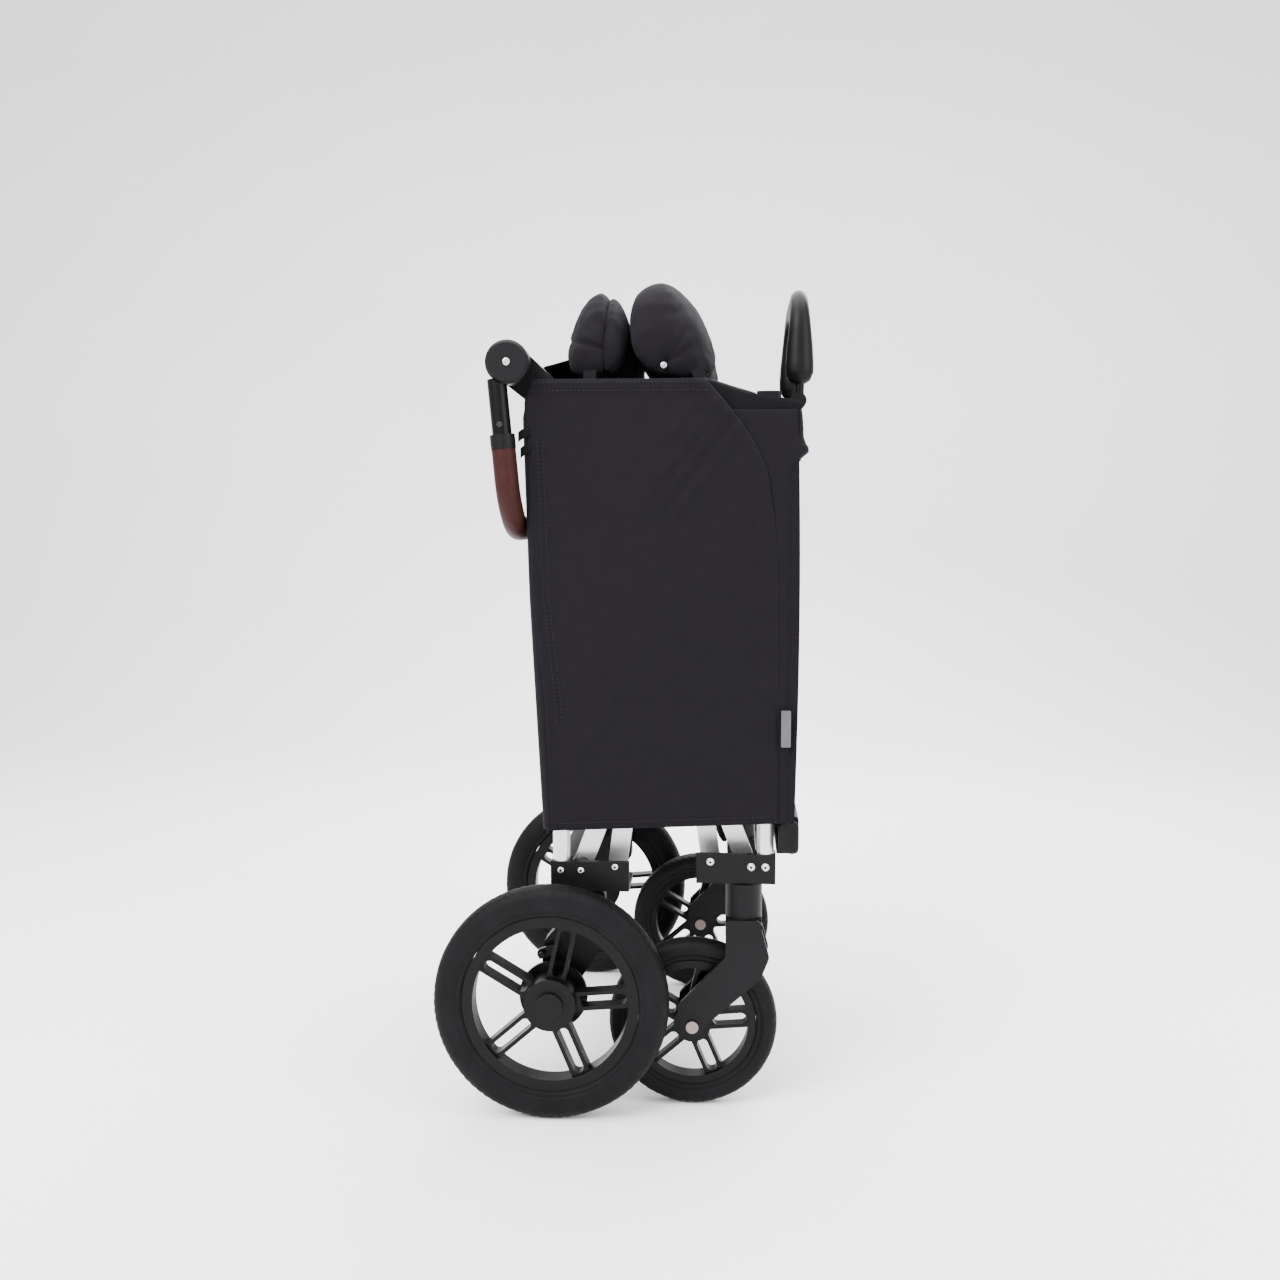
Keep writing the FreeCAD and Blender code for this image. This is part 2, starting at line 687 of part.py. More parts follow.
def front_bumper():
    """Rounded bumper bar across the foot of the front fabric."""
    x = REAR_AXLE_X
    bar = box(x + 284, x + 312, -236, 236, 334, 344)
    nose = box(x + 302.5, x + 312, -236, 236, 334, 382)
    bar = bar.fuse(nose).removeSplitter()
    edges = [e for e in edges_along(bar, V(0, 1, 0)) if e.BoundBox.XMin > x + 308]
    return bar.makeFillet(5.0, edges)


def side_buckle():
    x = REAR_AXLE_X
    plate = box(x + 288, x + 300, COVER_Y + COVER_THICK, COVER_Y + COVER_THICK + 4, 474, 520)
    return plate.makeFillet(1.5, edges_along(plate, V(0, 1, 0)))


def hood(outline, tilt_clear):
    """Folded hood bundle with rounded shoulders."""
    body = prism_y(outline, -HOOD_HALF_WIDTH, HOOD_HALF_WIDTH)
    frame = box(-400, 400, -HOOD_HALF_WIDTH, HOOD_HALF_WIDTH, 800, tilt_clear)
    shoulders = [e for e in edges_along(frame, V(1, 0, 0)) if e.BoundBox.ZMax > 900]
    frame = frame.makeFillet(HOOD_CORNER_R, shoulders)
    return body.common(frame)


def hood_arm(pivot, lean):
    """Hinge arm from the hood pivot up into the fabric."""
    x, z = pivot
    return stadium(x, z, x + lean, z + 45, 16.0, HOOD_HALF_WIDTH + 0.8, HOOD_HALF_WIDTH + 4.8)


def hoods():
    x = REAR_AXLE_X
    rear = [
        (x + 13, 939),
        (x + 10, 985),
        (x + 24, 1022),
        (x + 50, 1048),
        (x + 68, 1051),
        (x + 83, 1030),
        (x + 88, 1000),
        (x + 80, 960),
        (x + 72, 939),
    ]
    front = [
        (x + 136, 939),
        (x + 103, 985),
        (x + 90, 1020),
        (x + 94, 1046),
        (x + 120, 1061),
        (x + 143, 1061),
        (x + 172, 1034),
        (x + 192, 1000),
        (x + 205, 958),
        (x + 204, 939),
    ]
    write("rear_hood", hood(rear, 1052.0))
    write("front_hood", hood(front, 1062.0))
    write("rear_hood_arms", both_sides(hood_arm(REAR_HOOD_PIVOT, 2.0)))
    write("front_hood_arms", both_sides(hood_arm(FRONT_HOOD_PIVOT, -22.0)))


def pull_loop(x, foot_z):
    """Path of the front handle: up one side, over the top and down the other side."""
    return bent_path(
        [
            V(x, PULL_HALF_WIDTH, foot_z),
            V(x, PULL_HALF_WIDTH, PULL_TOP_Z),
            V(x, -PULL_HALF_WIDTH, PULL_TOP_Z),
            V(x, -PULL_HALF_WIDTH, foot_z),
        ],
        [45.0, 45.0],
    )


def grip_swell(x):
    """Rounded lower end of the front handle's grip, thickest near its foot."""
    foot_z = 933.0
    radius = 15.0
    edge = Part.Arc(
        V(x, 0, foot_z),
        V(x + radius * math.sin(math.radians(45)), 0, foot_z + radius * (1 - math.cos(math.radians(45)))),
        V(x + radius, 0, foot_z + radius),
    ).toShape()
    taper = Part.LineSegment(V(x + radius, 0, foot_z + radius), V(x + 10.3, 0, foot_z + 72)).toShape()
    lid = Part.LineSegment(V(x + 10.3, 0, foot_z + 72), V(x, 0, foot_z + 72)).toShape()
    axis = Part.LineSegment(V(x, 0, foot_z + 72), V(x, 0, foot_z)).toShape()
    profile = Part.Face(Part.Wire([edge, taper, lid, axis]))
    swell = profile.revolve(V(x, 0, 0), V(0, 0, 1), 360)
    swell.translate(V(0, PULL_HALF_WIDTH, 0))
    return swell


def pull_handle():
    """Front handle: pivot rods, two stems and a padded loop."""
    x = PULL_X + 1.5
    core = swept(pull_loop(x, PULL_PIVOT_Z), 6.0)
    pad = swept(pull_loop(x, 960.0), 11.0)
    swell = grip_swell(x)
    for side in (1, -1):
        pivot = rod_y(PULL_X, PULL_PIVOT_Z, 9.0, side * PULL_HALF_WIDTH - 9, side * PULL_HALF_WIDTH + 9)
        core = core.fuse(pivot)
    pad = pad.fuse(swell).fuse(mirrored(swell))
    write("front_handle_frame", core)
    write("front_handle_grip", pad.cut(swept(pull_loop(x, PULL_PIVOT_Z), 6.1)))


def pull_handle_clamp():
    """Clamp on the top rail with two cheeks that hold the front handle's pivot."""
    y = PULL_HALF_WIDTH
    clamp = rod_y(RAIL_X, RAIL_Z, RAIL_R + 3.5, y - 16, y + 16)
    for low, high in ((y - 16, y - 10), (y + 10, y + 16)):
        clamp = clamp.fuse(stadium(RAIL_X, RAIL_Z, PULL_X, PULL_PIVOT_Z, 21.0, low, high))
    return clamp.removeSplitter().cut(rod_y(RAIL_X, RAIL_Z, RAIL_R + 0.05, y - 17, y + 17))


def main():
    os.makedirs("parts", exist_ok=True)
    rear_wheels()
    front_wheels()
    write_pair("fork", fork())
    write_pair("front_wheel_bolt", wheel_bolt())

    write("rear_posts", both_sides(post(REAR_POST_X, REAR_FOOT_Z)))
    write("front_posts", both_sides(post(FRONT_POST_X, FRONT_FOOT_Z)))
    write_pair("rear_bracket", rear_bracket())
    write_pair("front_bracket", front_bracket())
    write("rear_cross_beam", cross_beam(REAR_POST_X, REAR_FOOT_Z))
    write("front_cross_beam", cross_beam(FRONT_POST_X, FRONT_FOOT_Z))
    rear_bolts = [(REAR_POST_X, 309), (REAR_ARM_X, 309), (REAR_PANEL_X, PIVOT_Z + 2)]
    front_bolts = [
        (FRONT_PANEL_X, PIVOT_Z + 11), (FRONT_ARM_X + 6, PIVOT_Z + 5), (FRONT_POST_X, PIVOT_Z + 5),
    ]
    write("rear_bracket_bolts", bolt_heads(rear_bolts, 4.0, 2.5))
    write("front_bracket_bolts", bolt_heads(front_bolts, 5.0, 3.0))
    write("rear_legs", both_sides(rear_leg()))
    write("rear_axle", rear_axle())
    write("brake_pedal", brake_pedal())

    write_pair("hub_base", hub_base())
    push_handle()

    rear_arm = scissor_arm(REAR_ARM_X, FRONT_ARM_X, REAR_ARM_Y)
    front_arm = scissor_arm(FRONT_ARM_X, REAR_ARM_X, FRONT_ARM_Y)
    write("rear_scissor_arms", both_sides(rear_arm))
    write("front_scissor_arms", both_sides(front_arm))
    write("arm_rivets", arm_rivets())
    write("rear_sliders", both_sides(slider(REAR_POST_X, REAR_ARM_X, FRONT_ARM_Y + ARM_THICK + 0.5)))
    write("front_sliders", both_sides(slider(FRONT_POST_X, FRONT_ARM_X, REAR_ARM_Y + ARM_THICK + 0.5)))

    for name, pivot_x, inward in (("rear", REAR_PANEL_X, 1), ("front", FRONT_PANEL_X, -1)):
        frame, mat = floor_panel(pivot_x, inward)
        write(name + "_floor_frame", frame)
        write(name + "_floor_mat", mat)

    write("rear_top_bar", rear_top_bar())
    write("rear_hood_mounts", both_sides(hood_mount()))
    write("front_top_rail", front_top_rail())
    write("rail_joints", both_sides(corner_joint()))
    write_pair("side_cover", side_cover())
    write("rear_wall", rear_wall())
    write("front_wall", front_wall())
    write("front_bumper", front_bumper())
    write("side_buckles", both_sides(side_buckle()))
    hoods()
    pull_handle()
    write("front_handle_clamps", both_sides(pull_handle_clamp()))


main()
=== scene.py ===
import json
import math

import bmesh
import bpy
import numpy as np
from mathutils import Matrix, Vector, noise
from mathutils.bvhtree import BVHTree


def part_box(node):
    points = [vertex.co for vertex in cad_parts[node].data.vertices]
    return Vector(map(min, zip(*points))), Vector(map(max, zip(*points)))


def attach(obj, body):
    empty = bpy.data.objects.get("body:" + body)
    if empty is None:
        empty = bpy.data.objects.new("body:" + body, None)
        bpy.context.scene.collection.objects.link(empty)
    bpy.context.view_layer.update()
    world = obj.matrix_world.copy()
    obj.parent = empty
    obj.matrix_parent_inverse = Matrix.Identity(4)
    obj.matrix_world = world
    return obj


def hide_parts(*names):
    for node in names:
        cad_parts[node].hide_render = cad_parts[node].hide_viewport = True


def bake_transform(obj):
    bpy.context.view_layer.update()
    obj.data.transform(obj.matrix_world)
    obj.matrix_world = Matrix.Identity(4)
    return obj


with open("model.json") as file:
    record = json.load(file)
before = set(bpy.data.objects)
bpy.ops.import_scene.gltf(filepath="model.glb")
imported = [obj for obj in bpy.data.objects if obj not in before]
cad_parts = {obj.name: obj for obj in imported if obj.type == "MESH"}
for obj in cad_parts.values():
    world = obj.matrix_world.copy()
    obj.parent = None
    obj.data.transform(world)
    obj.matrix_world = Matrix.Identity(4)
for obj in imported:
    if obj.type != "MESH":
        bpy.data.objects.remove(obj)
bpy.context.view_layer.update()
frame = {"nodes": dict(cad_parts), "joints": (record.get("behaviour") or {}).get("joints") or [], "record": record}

NODES = frame["nodes"]


def middle(node):
    """Centre of a CAD node's box."""
    low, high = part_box(node)
    return (low + high) / 2


AXLE_X = middle("rear_axle").x
PANEL_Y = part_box("side_cover_left")[0].y
PANEL_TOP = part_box("side_cover_left")[1].z
PANEL_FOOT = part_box("side_cover_left")[0].z
FOLD_TRAVEL = [j for j in frame["joints"] if j["name"] == "fold"][0]["range_m"][1]

# Driving dimensions, in metres. Lengths along X are measured from the rear axle.
CLOTH = 0.0012
OUTER_LAYER_Y = PANEL_Y + 0.0062
MIDDLE_LAYER_Y = PANEL_Y + 0.0026
INNER_LAYER_Y = PANEL_Y + 0.0002
FRONT_EDGE = 0.306
END_FOOT = 0.345
FRONT_TOP = 0.893
REAR_TOP = 0.8865
FOOT_RISE = 0.013
FRONT_FOOT_RISE = 0.031
REAR_FOOT_RISE = 0.018
LEFT_EDGE = [(0.363, -0.002), (0.530, -0.010), (0.657, -0.024), (0.905, -0.033), (0.931, -0.024)]
FOLD_LINE = [
    (0.363, 0.284), (0.700, 0.282), (0.760, 0.277), (0.819, 0.268),
    (0.850, 0.254), (0.876, 0.237), (0.905, 0.214), (0.931, 0.191),
]
RAIL_SLOPE = [
    (0.100, 0.931), (0.188, 0.931), (0.204, 0.925), (0.238, 0.9135), (0.297, 0.9045), (0.312, 0.9020),
]
BAND_START = 0.160
BAND_FOOT = [
    (0.160, 0.925), (0.190, 0.918), (0.228, 0.886), (0.250, 0.875), (0.274, 0.867), (0.312, 0.858),
]
SLANT_FOLDS = [
    (-0.052, 0.007, 0.0022), (-0.030, 0.006, 0.0034), (-0.010, 0.005, 0.0036), (0.012, 0.006, 0.0030),
]
HEM_HEIGHT = 0.017
STITCH_LENGTH = 0.0034
STITCH_PITCH = 0.0054
STITCH_R = 0.00042
MAT_LENGTH = 0.176
MAT_FLAP = 0.045
MAT_THICK = 0.016
MAT_HALF = 0.1665
FLOOR_PIVOT_Z = 0.312
FLOOR_SWING = math.radians(82.0)
HOOD_HALF = 0.2205
HOOD_CORNER = 0.072
CLOTH_FRAMES = 20
SNAP_U = 0.1386
SNAP_Z = 0.950
REAR_TREADS = 84
FRONT_TREADS = 62
TREAD_CUT = 0.0006
SIDES = (("left", 1), ("right", -1))


def ux(u):
    """Row X of a distance ahead of the rear axle."""
    return AXLE_X + u


def look_up(pairs, value):
    """Straight-line reading of a list of (key, value) pairs."""
    keys = [pair[0] for pair in pairs]
    values = [pair[1] for pair in pairs]
    return float(np.interp(value, keys, values))


def spread(start, end, count):
    """Evenly spaced numbers from start to end, in count steps."""
    return [start + (end - start) * step / count for step in range(count + 1)]


def smooth_step(low, high, value):
    """0 below low, 1 above high and smooth between them."""
    t = min(1.0, max(0.0, (value - low) / (high - low)))
    return t * t * (3 - 2 * t)


def ripple(x, y, z, size, seed=0.0):
    """Smooth noise between -1 and 1 whose bumps are about size metres wide."""
    return noise.noise(Vector((x / size + seed, y / size - seed, z / size + 2 * seed)))


# Materials


class Surface:
    """A Principled material and the few node groups that every finish here is made from."""

    def __init__(self, name, color, roughness, metallic=0.0):
        self.material = bpy.data.materials.new(name)
        self.material.use_nodes = True
        self.nodes = self.material.node_tree.nodes
        self.links = self.material.node_tree.links
        self.principled = self.nodes["Principled BSDF"]
        self.principled.inputs["Base Color"].default_value = (*color, 1.0)
        self.principled.inputs["Roughness"].default_value = roughness
        self.principled.inputs["Metallic"].default_value = metallic
        self.principled.inputs["Specular IOR Level"].default_value = 0.5 if metallic else 0.1
        self.color = color
        self.coordinates = self.nodes.new("ShaderNodeTexCoord").outputs["Object"]
        self.normal = None

    def mapped(self, scale=(1, 1, 1), turn=(0, 0, 0)):
        """Object coordinates, scaled and turned."""
        mapping = self.nodes.new("ShaderNodeMapping")
        mapping.inputs["Scale"].default_value = scale
        mapping.inputs["Rotation"].default_value = turn
        self.links.new(self.coordinates, mapping.inputs["Vector"])
        return mapping.outputs["Vector"]

    def noise(self, scale, detail=3.0, vector=None):
        """Cloudy pattern, finer for a larger scale."""
        texture = self.nodes.new("ShaderNodeTexNoise")
        texture.inputs["Scale"].default_value = scale
        texture.inputs["Detail"].default_value = detail
        self.links.new(vector or self.coordinates, texture.inputs["Vector"])
        return texture.outputs["Fac"]

    def cells(self, scale):
        """Pattern of small rounded cells."""
        texture = self.nodes.new("ShaderNodeTexVoronoi")
        texture.inputs["Scale"].default_value = scale
        self.links.new(self.coordinates, texture.inputs["Vector"])
        return texture.outputs["Distance"]

    def bands(self, scale, turn):
        """Slanted parallel lines, turned about the object's axes."""
        texture = self.nodes.new("ShaderNodeTexWave")
        texture.bands_direction = "DIAGONAL"
        texture.inputs["Scale"].default_value = scale
        texture.inputs["Distortion"].default_value = 0.0
        self.links.new(self.mapped(turn=turn), texture.inputs["Vector"])
        return texture.outputs["Fac"]

    def mix(self, a, b, how="MULTIPLY"):
        """Two patterns joined by the named operation."""
        math_node = self.nodes.new("ShaderNodeMath")
        math_node.operation = how
        self.links.new(a, math_node.inputs[0])
        self.links.new(b, math_node.inputs[1])
        return math_node.outputs["Value"]

    def ramp(self, value, stops):
        """stops is a list of (position, colour)."""
        ramp = self.nodes.new("ShaderNodeValToRGB")
        elements = ramp.color_ramp.elements
        while len(elements) < len(stops):
            elements.new(0.5)
        for element, (position, color) in zip(elements, stops):
            element.position = position
            element.color = (*color, 1.0)
        self.links.new(value, ramp.inputs["Fac"])
        return ramp.outputs["Color"]

    def vary_color(self, value, low, high):
        """Base colour from low times to high times the plain colour."""
        dark = tuple(channel * low for channel in self.color)
        light = tuple(channel * high for channel in self.color)
        self.links.new(self.ramp(value, [(0.3, dark), (0.7, light)]), self.principled.inputs["Base Color"])

    def vary_roughness(self, value, low, high):
        """Roughness from low to high."""
        reach = self.nodes.new("ShaderNodeMapRange")
        reach.inputs["To Min"].default_value = low
        reach.inputs["To Max"].default_value = high
        self.links.new(value, reach.inputs["Value"])
        self.links.new(reach.outputs["Result"], self.principled.inputs["Roughness"])

    def bump(self, height, strength, distance):
        """Adds relief on top of any relief that is already there."""
        node = self.nodes.new("ShaderNodeBump")
        node.inputs["Strength"].default_value = strength
        node.inputs["Distance"].default_value = distance
        self.links.new(height, node.inputs["Height"])
        if self.normal is not None:
            self.links.new(self.normal, node.inputs["Normal"])
        self.normal = node.outputs["Normal"]
        self.links.new(self.normal, self.principled.inputs["Normal"])

    def set(self, **values):
        """Shader sockets by name, with _ for each space."""
        for key, value in values.items():
            self.principled.inputs[key.replace("_", " ")].default_value = value


def woven(name, color, thread=2100.0, sheen=0.02):
    """Twill-woven polyester with soft creases and a little sheen."""
    cloth = Surface(name, color, 0.82)
    warp = cloth.bands(thread, (0.0, 0.0, 0.0))
    weft = cloth.bands(thread, (math.pi / 2, 0.0, math.pi / 2))
    weave = cloth.mix(warp, weft)
    soft = cloth.noise(9.0, 4.0)
    cloth.vary_color(cloth.mix(soft, cloth.noise(260.0, 2.0), "ADD"), 0.82, 1.22)
    cloth.set(Sheen_Weight=sheen, Sheen_Roughness=0.45, Specular_IOR_Level=0.08)
    cloth.vary_roughness(cloth.noise(40.0), 0.72, 0.92)
    cloth.bump(soft, 0.35, 0.006)
    cloth.bump(cloth.noise(60.0, 3.0), 0.18, 0.0012)
    cloth.bump(weave, 0.45, 0.0003)
    return cloth.material


def moulded(name, color, roughness=0.46, grain=1500.0):
    """Moulded nylon with a fine spark-eroded grain and slightly rubbed high spots."""
    plastic = Surface(name, color, roughness)
    plastic.vary_color(plastic.noise(14.0, 3.0), 0.85, 1.2)
    plastic.vary_roughness(plastic.noise(55.0, 4.0), roughness - 0.09, roughness + 0.1)
    plastic.bump(plastic.noise(grain, 2.0), 0.22, 0.00025)
    plastic.set(Specular_IOR_Level=0.12)
    return plastic.material


def anodised():
    """Satin anodised tube: fine drawing lines along its length and faint handling marks."""
    metal = Surface("anodised_tube", (0.72, 0.70, 0.71), 0.34, 0.9)
    lines = metal.noise(40.0, 3.0, metal.mapped(scale=(60, 60, 1.2)))
    metal.vary_color(metal.noise(7.0, 3.0), 0.93, 1.05)
    metal.vary_roughness(lines, 0.26, 0.42)
    metal.bump(lines, 0.08, 0.0002)
    return metal.material


def plated(name, color, roughness):
    """Plated or blackened steel with faint spangle."""
    metal = Surface(name, color, roughness, 1.0)
    metal.vary_color(metal.cells(420.0), 0.86, 1.08)
    metal.vary_roughness(metal.noise(180.0, 4.0), roughness - 0.06, roughness + 0.14)
    metal.bump(metal.noise(700.0, 3.0), 0.12, 0.0002)
    return metal.material


def powder_coat():
    """Satin black powder coat with its fine orange peel."""
    paint = Surface("powder_coat", (0.0030, 0.0029, 0.0034), 0.36)
    paint.vary_color(paint.noise(11.0), 0.88, 1.15)
    paint.vary_roughness(paint.noise(70.0), 0.26, 0.42)
    paint.bump(paint.noise(850.0, 1.0), 0.16, 0.0003)
    return paint.material


def tyre_rubber():
    """Foamed rubber: matte, with tiny pores and dusty high spots."""
    rubber = Surface("tyre_rubber", (0.0030, 0.0028, 0.0033), 0.60)
    rubber.vary_color(rubber.noise(26.0, 4.0), 0.8, 1.45)
    rubber.vary_roughness(rubber.noise(90.0), 0.52, 0.72)
    rubber.bump(rubber.noise(900.0, 2.0), 0.22, 0.0003)
    return rubber.material


def soft_grip():
    """Smooth satin grip skin of the front handle."""
    grip = Surface("grip_skin", (0.0035, 0.0035, 0.0041), 0.42)
    grip.vary_color(grip.noise(16.0), 0.88, 1.18)
    grip.vary_roughness(grip.noise(60.0), 0.38, 0.5)
    grip.bump(grip.noise(1100.0, 2.0), 0.14, 0.0002)
    grip.set(Specular_IOR_Level=0.12)
    return grip.material


def leather():
    """Red-brown leather: pebbled grain with painted shade darkening its creases, a little polished by hands."""
    hide = Surface("leather_hide", (0.0190, 0.0044, 0.0039), 0.44)
    pebbles = hide.cells(620.0)
    patches = hide.noise(30.0, 4.0)
    # Painted shade: the dark stop of the ramp below falls where the pebble bump is lowest, in the grain's creases.
    dark = (0.0075, 0.0022, 0.0021)
    warm = (0.0270, 0.0068, 0.0056)
    hide.links.new(
        hide.ramp(hide.mix(pebbles, patches, "ADD"), [(0.35, dark), (0.85, hide.color), (1.0, warm)]),
        hide.principled.inputs["Base Color"],
    )
    hide.vary_roughness(patches, 0.34, 0.58)
    hide.bump(hide.noise(70.0, 3.0), 0.25, 0.0012)
    hide.bump(pebbles, 0.5, 0.0006)
    return hide.material


def thread(name, color):
    """Waxed sewing thread with its twist."""
    yarn = Surface(name, color, 0.6)
    yarn.vary_color(yarn.noise(900.0), 0.8, 1.25)
    yarn.bump(yarn.bands(2600.0, (0.4, 0.2, 0.0)), 0.4, 0.0002)
    return yarn.material


FABRIC = woven("charcoal_weave", (0.0046, 0.0038, 0.0053))
FABRIC_TRIM = woven("binding_tape", (0.0024, 0.0022, 0.0027), thread=2600.0, sheen=0.015)
PAD_FABRIC = woven("pad_weave", (0.0085, 0.0080, 0.0095), thread=1500.0, sheen=0.03)
PLASTIC = moulded("black_nylon", (0.0036, 0.0034, 0.0040))
WHEEL_PLASTIC = moulded("wheel_nylon", (0.0018, 0.0017, 0.0020), roughness=0.40, grain=1100.0)
BUCKLE = moulded("grey_nylon", (0.075, 0.073, 0.076), roughness=0.4)
ALUMINIUM = anodised()
ZINC = plated("zinc_plate", (0.74, 0.72, 0.70), roughness=0.26)
STEEL = plated("plain_steel", (0.42, 0.42, 0.43), roughness=0.36)
PAINT = powder_coat()
BLACK_SCREW = plated("black_screw", (0.045, 0.045, 0.048), roughness=0.34)
WHEEL_BOLT = plated("wheel_bolt", (0.21, 0.165, 0.150), roughness=0.30)
RUBBER = tyre_rubber()
GRIP = soft_grip()
LEATHER = leather()
DARK_THREAD = thread("dark_thread", (0.0130, 0.0118, 0.0140))
BROWN_THREAD = thread("brown_thread", (0.0065, 0.0026, 0.0024))

SLOT_MATERIALS = {
    "silver_tube": ALUMINIUM,
    "zinc_bolt": ZINC,
    "axle_steel": STEEL,
    "tyre": RUBBER,
    "wheel_plastic": WHEEL_PLASTIC,
    "black_plastic": PLASTIC,
    "buckle_plastic": BUCKLE,
    "black_tube": PAINT,
    "grip_rubber": GRIP,
    "leather": LEATHER,
    "fabric": FABRIC,
    "mat_fabric": PAD_FABRIC,
}


NODE_MATERIALS = {
    "handle_screws": BLACK_SCREW,
    "front_wheel_bolt_left": WHEEL_BOLT,
    "front_wheel_bolt_right": WHEEL_BOLT,
}


def dress_cad():
    """Gives every CAD node the procedural material of its slot, or its own one."""
    for entry in frame["record"]["subparts"]:
        node = entry["node"]
        material = NODE_MATERIALS.get(node, SLOT_MATERIALS[entry["material_slot"]])
        NODES[node].data.materials.clear()
        NODES[node].data.materials.append(material)


# Mesh helpers


def add_object(name, data):
    """Links a new object into the scene."""
    obj = bpy.data.objects.new(name, data)
    bpy.context.scene.collection.objects.link(obj)
    return obj


def shade_smooth(mesh):
    """Smooth shading on every face."""
    for polygon in mesh.polygons:
        polygon.use_smooth = True


def add_mesh(name, points, faces, material):
    """Smooth-shaded mesh object from points and faces."""
    mesh = bpy.data.meshes.new(name)
    mesh.from_pydata([tuple(point) for point in points], [], faces)
    mesh.validate()
    shade_smooth(mesh)
    mesh.materials.append(material)
    return add_object(name, mesh)


def add_solid(name, points, faces, material):
    """Closed mesh object, its faces turned outwards."""
    obj = add_mesh(name, points, faces, material)
    shape = bmesh.new()
    shape.from_mesh(obj.data)
    bmesh.ops.recalc_face_normals(shape, faces=shape.faces)
    shape.to_mesh(obj.data)
    shape.free()
    return obj


def place(obj, slot, body):
    """Attaches a piece to the body that it moves with; slot is not used."""
    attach(obj, body)


def apply_modifiers(obj):
    """Bakes the modifiers of an object into its mesh."""
    graph = bpy.context.evaluated_depsgraph_get()
    graph.update()
    mesh = bpy.data.meshes.new_from_object(obj.evaluated_get(graph))
    obj.modifiers.clear()
    obj.data = mesh


def move_points(mesh, places):
    """Puts a mesh's points at new places, in the same order."""
    for vertex, point in zip(mesh.vertices, places):
        vertex.co = point


def ring_faces(count, rings, closed=False):
    """Quads between rings of count points each, stored one ring after another."""
    faces = []
    for index in range(rings if closed else rings - 1):
        here = index * count
        there = ((index + 1) % rings) * count
        for step in range(count):
            after = (step + 1) % count
            faces.append((here + step, here + after, there + after, there + step))
    return faces


def end_faces(count, rings):
    """The two polygons that close a row of rings."""
    return [tuple(reversed(range(count))), tuple(range((rings - 1) * count, rings * count))]


def slab_faces(rows, columns):
    """Faces of two equal grids of points, one layer after the other, closed round their edge."""
    count = rows * columns
    faces = []
    for row in range(rows - 1):
        for column in range(columns - 1):
            a = row * columns + column
            b = a + columns
            faces.append((a, a + 1, b + 1, b))
            faces.append((a + count, b + count, b + 1 + count, a + 1 + count))
    rim = list(range(columns))
    rim += [row * columns + columns - 1 for row in range(1, rows)]
    rim += [(rows - 1) * columns + column for column in range(columns - 2, -1, -1)]
    rim += [row * columns for row in range(rows - 2, 0, -1)]
    for here, after in zip(rim, rim[1:] + rim[:1]):
        faces.append((here, here + count, after + count, after))
    return faces


def thick_sheet(name, grid, material, thickness=CLOTH):
    """Cloth of real thickness from rows of points. Its two faces share the grid's order."""
    grid = np.array(grid)
    normal = np.cross(np.gradient(grid, axis=1), np.gradient(grid, axis=0))
    normal /= np.maximum(np.linalg.norm(normal, axis=2, keepdims=True), 1e-12)
    front = (grid + normal * thickness / 2).reshape(-1, 3)
    back = (grid - normal * thickness / 2).reshape(-1, 3)
    return add_solid(name, np.vstack([front, back]), slab_faces(*grid.shape[:2]), material)


def tube(name, points, radius, material, sides=16, flatten=1.0):
    """Round bar through points, as a mesh with capped ends. flatten is its width over its height."""
    line = [Vector(point) for point in points]
    surface = []
    last = len(line) - 1
    for index, point in enumerate(line):
        ahead = (line[min(index + 1, last)] - line[max(index - 1, 0)]).normalized()
        up = Vector((0, 0, 1)) if abs(ahead.z) < 0.8 else Vector((1, 0, 0))
        side = ahead.cross(up).normalized()
        up = side.cross(ahead).normalized()
        for step in range(sides):
            turn = math.tau * step / sides
            surface.append(point + (side * math.cos(turn) * flatten + up * math.sin(turn)) * radius)
    faces = ring_faces(sides, len(line)) + end_faces(sides, len(line))
    return add_solid(name, surface, faces, material)


def smooth_line(points, count):
    """A soft curve through control points, as a list of points."""
    curve = bpy.data.curves.new("guide", "CURVE")
    curve.dimensions = "3D"
    curve.resolution_u = max(2, count // max(1, len(points) - 1))
    spline = curve.splines.new("NURBS")
    spline.points.add(len(points) - 1)
    for control, point in zip(spline.points, points):
        control.co = (*point, 1.0)
    spline.order_u = 3
    spline.use_endpoint_u = True
    guide = bpy.data.objects.new("guide", curve)
    mesh = bpy.data.meshes.new_from_object(guide)
    line = [vertex.co.copy() for vertex in mesh.vertices]
    bpy.data.objects.remove(guide)
    bpy.data.curves.remove(curve)
    bpy.data.meshes.remove(mesh)
    return line


def resample(points, pitch):
    """Points spaced evenly along a polyline."""
    line = np.array([tuple(point) for point in points])
    along = np.concatenate([[0.0], np.cumsum(np.linalg.norm(np.diff(line, axis=0), axis=1))])
    stations = np.arange(0.0, along[-1], pitch)
    return np.stack([np.interp(stations, along, line[:, axis]) for axis in range(3)], axis=1)


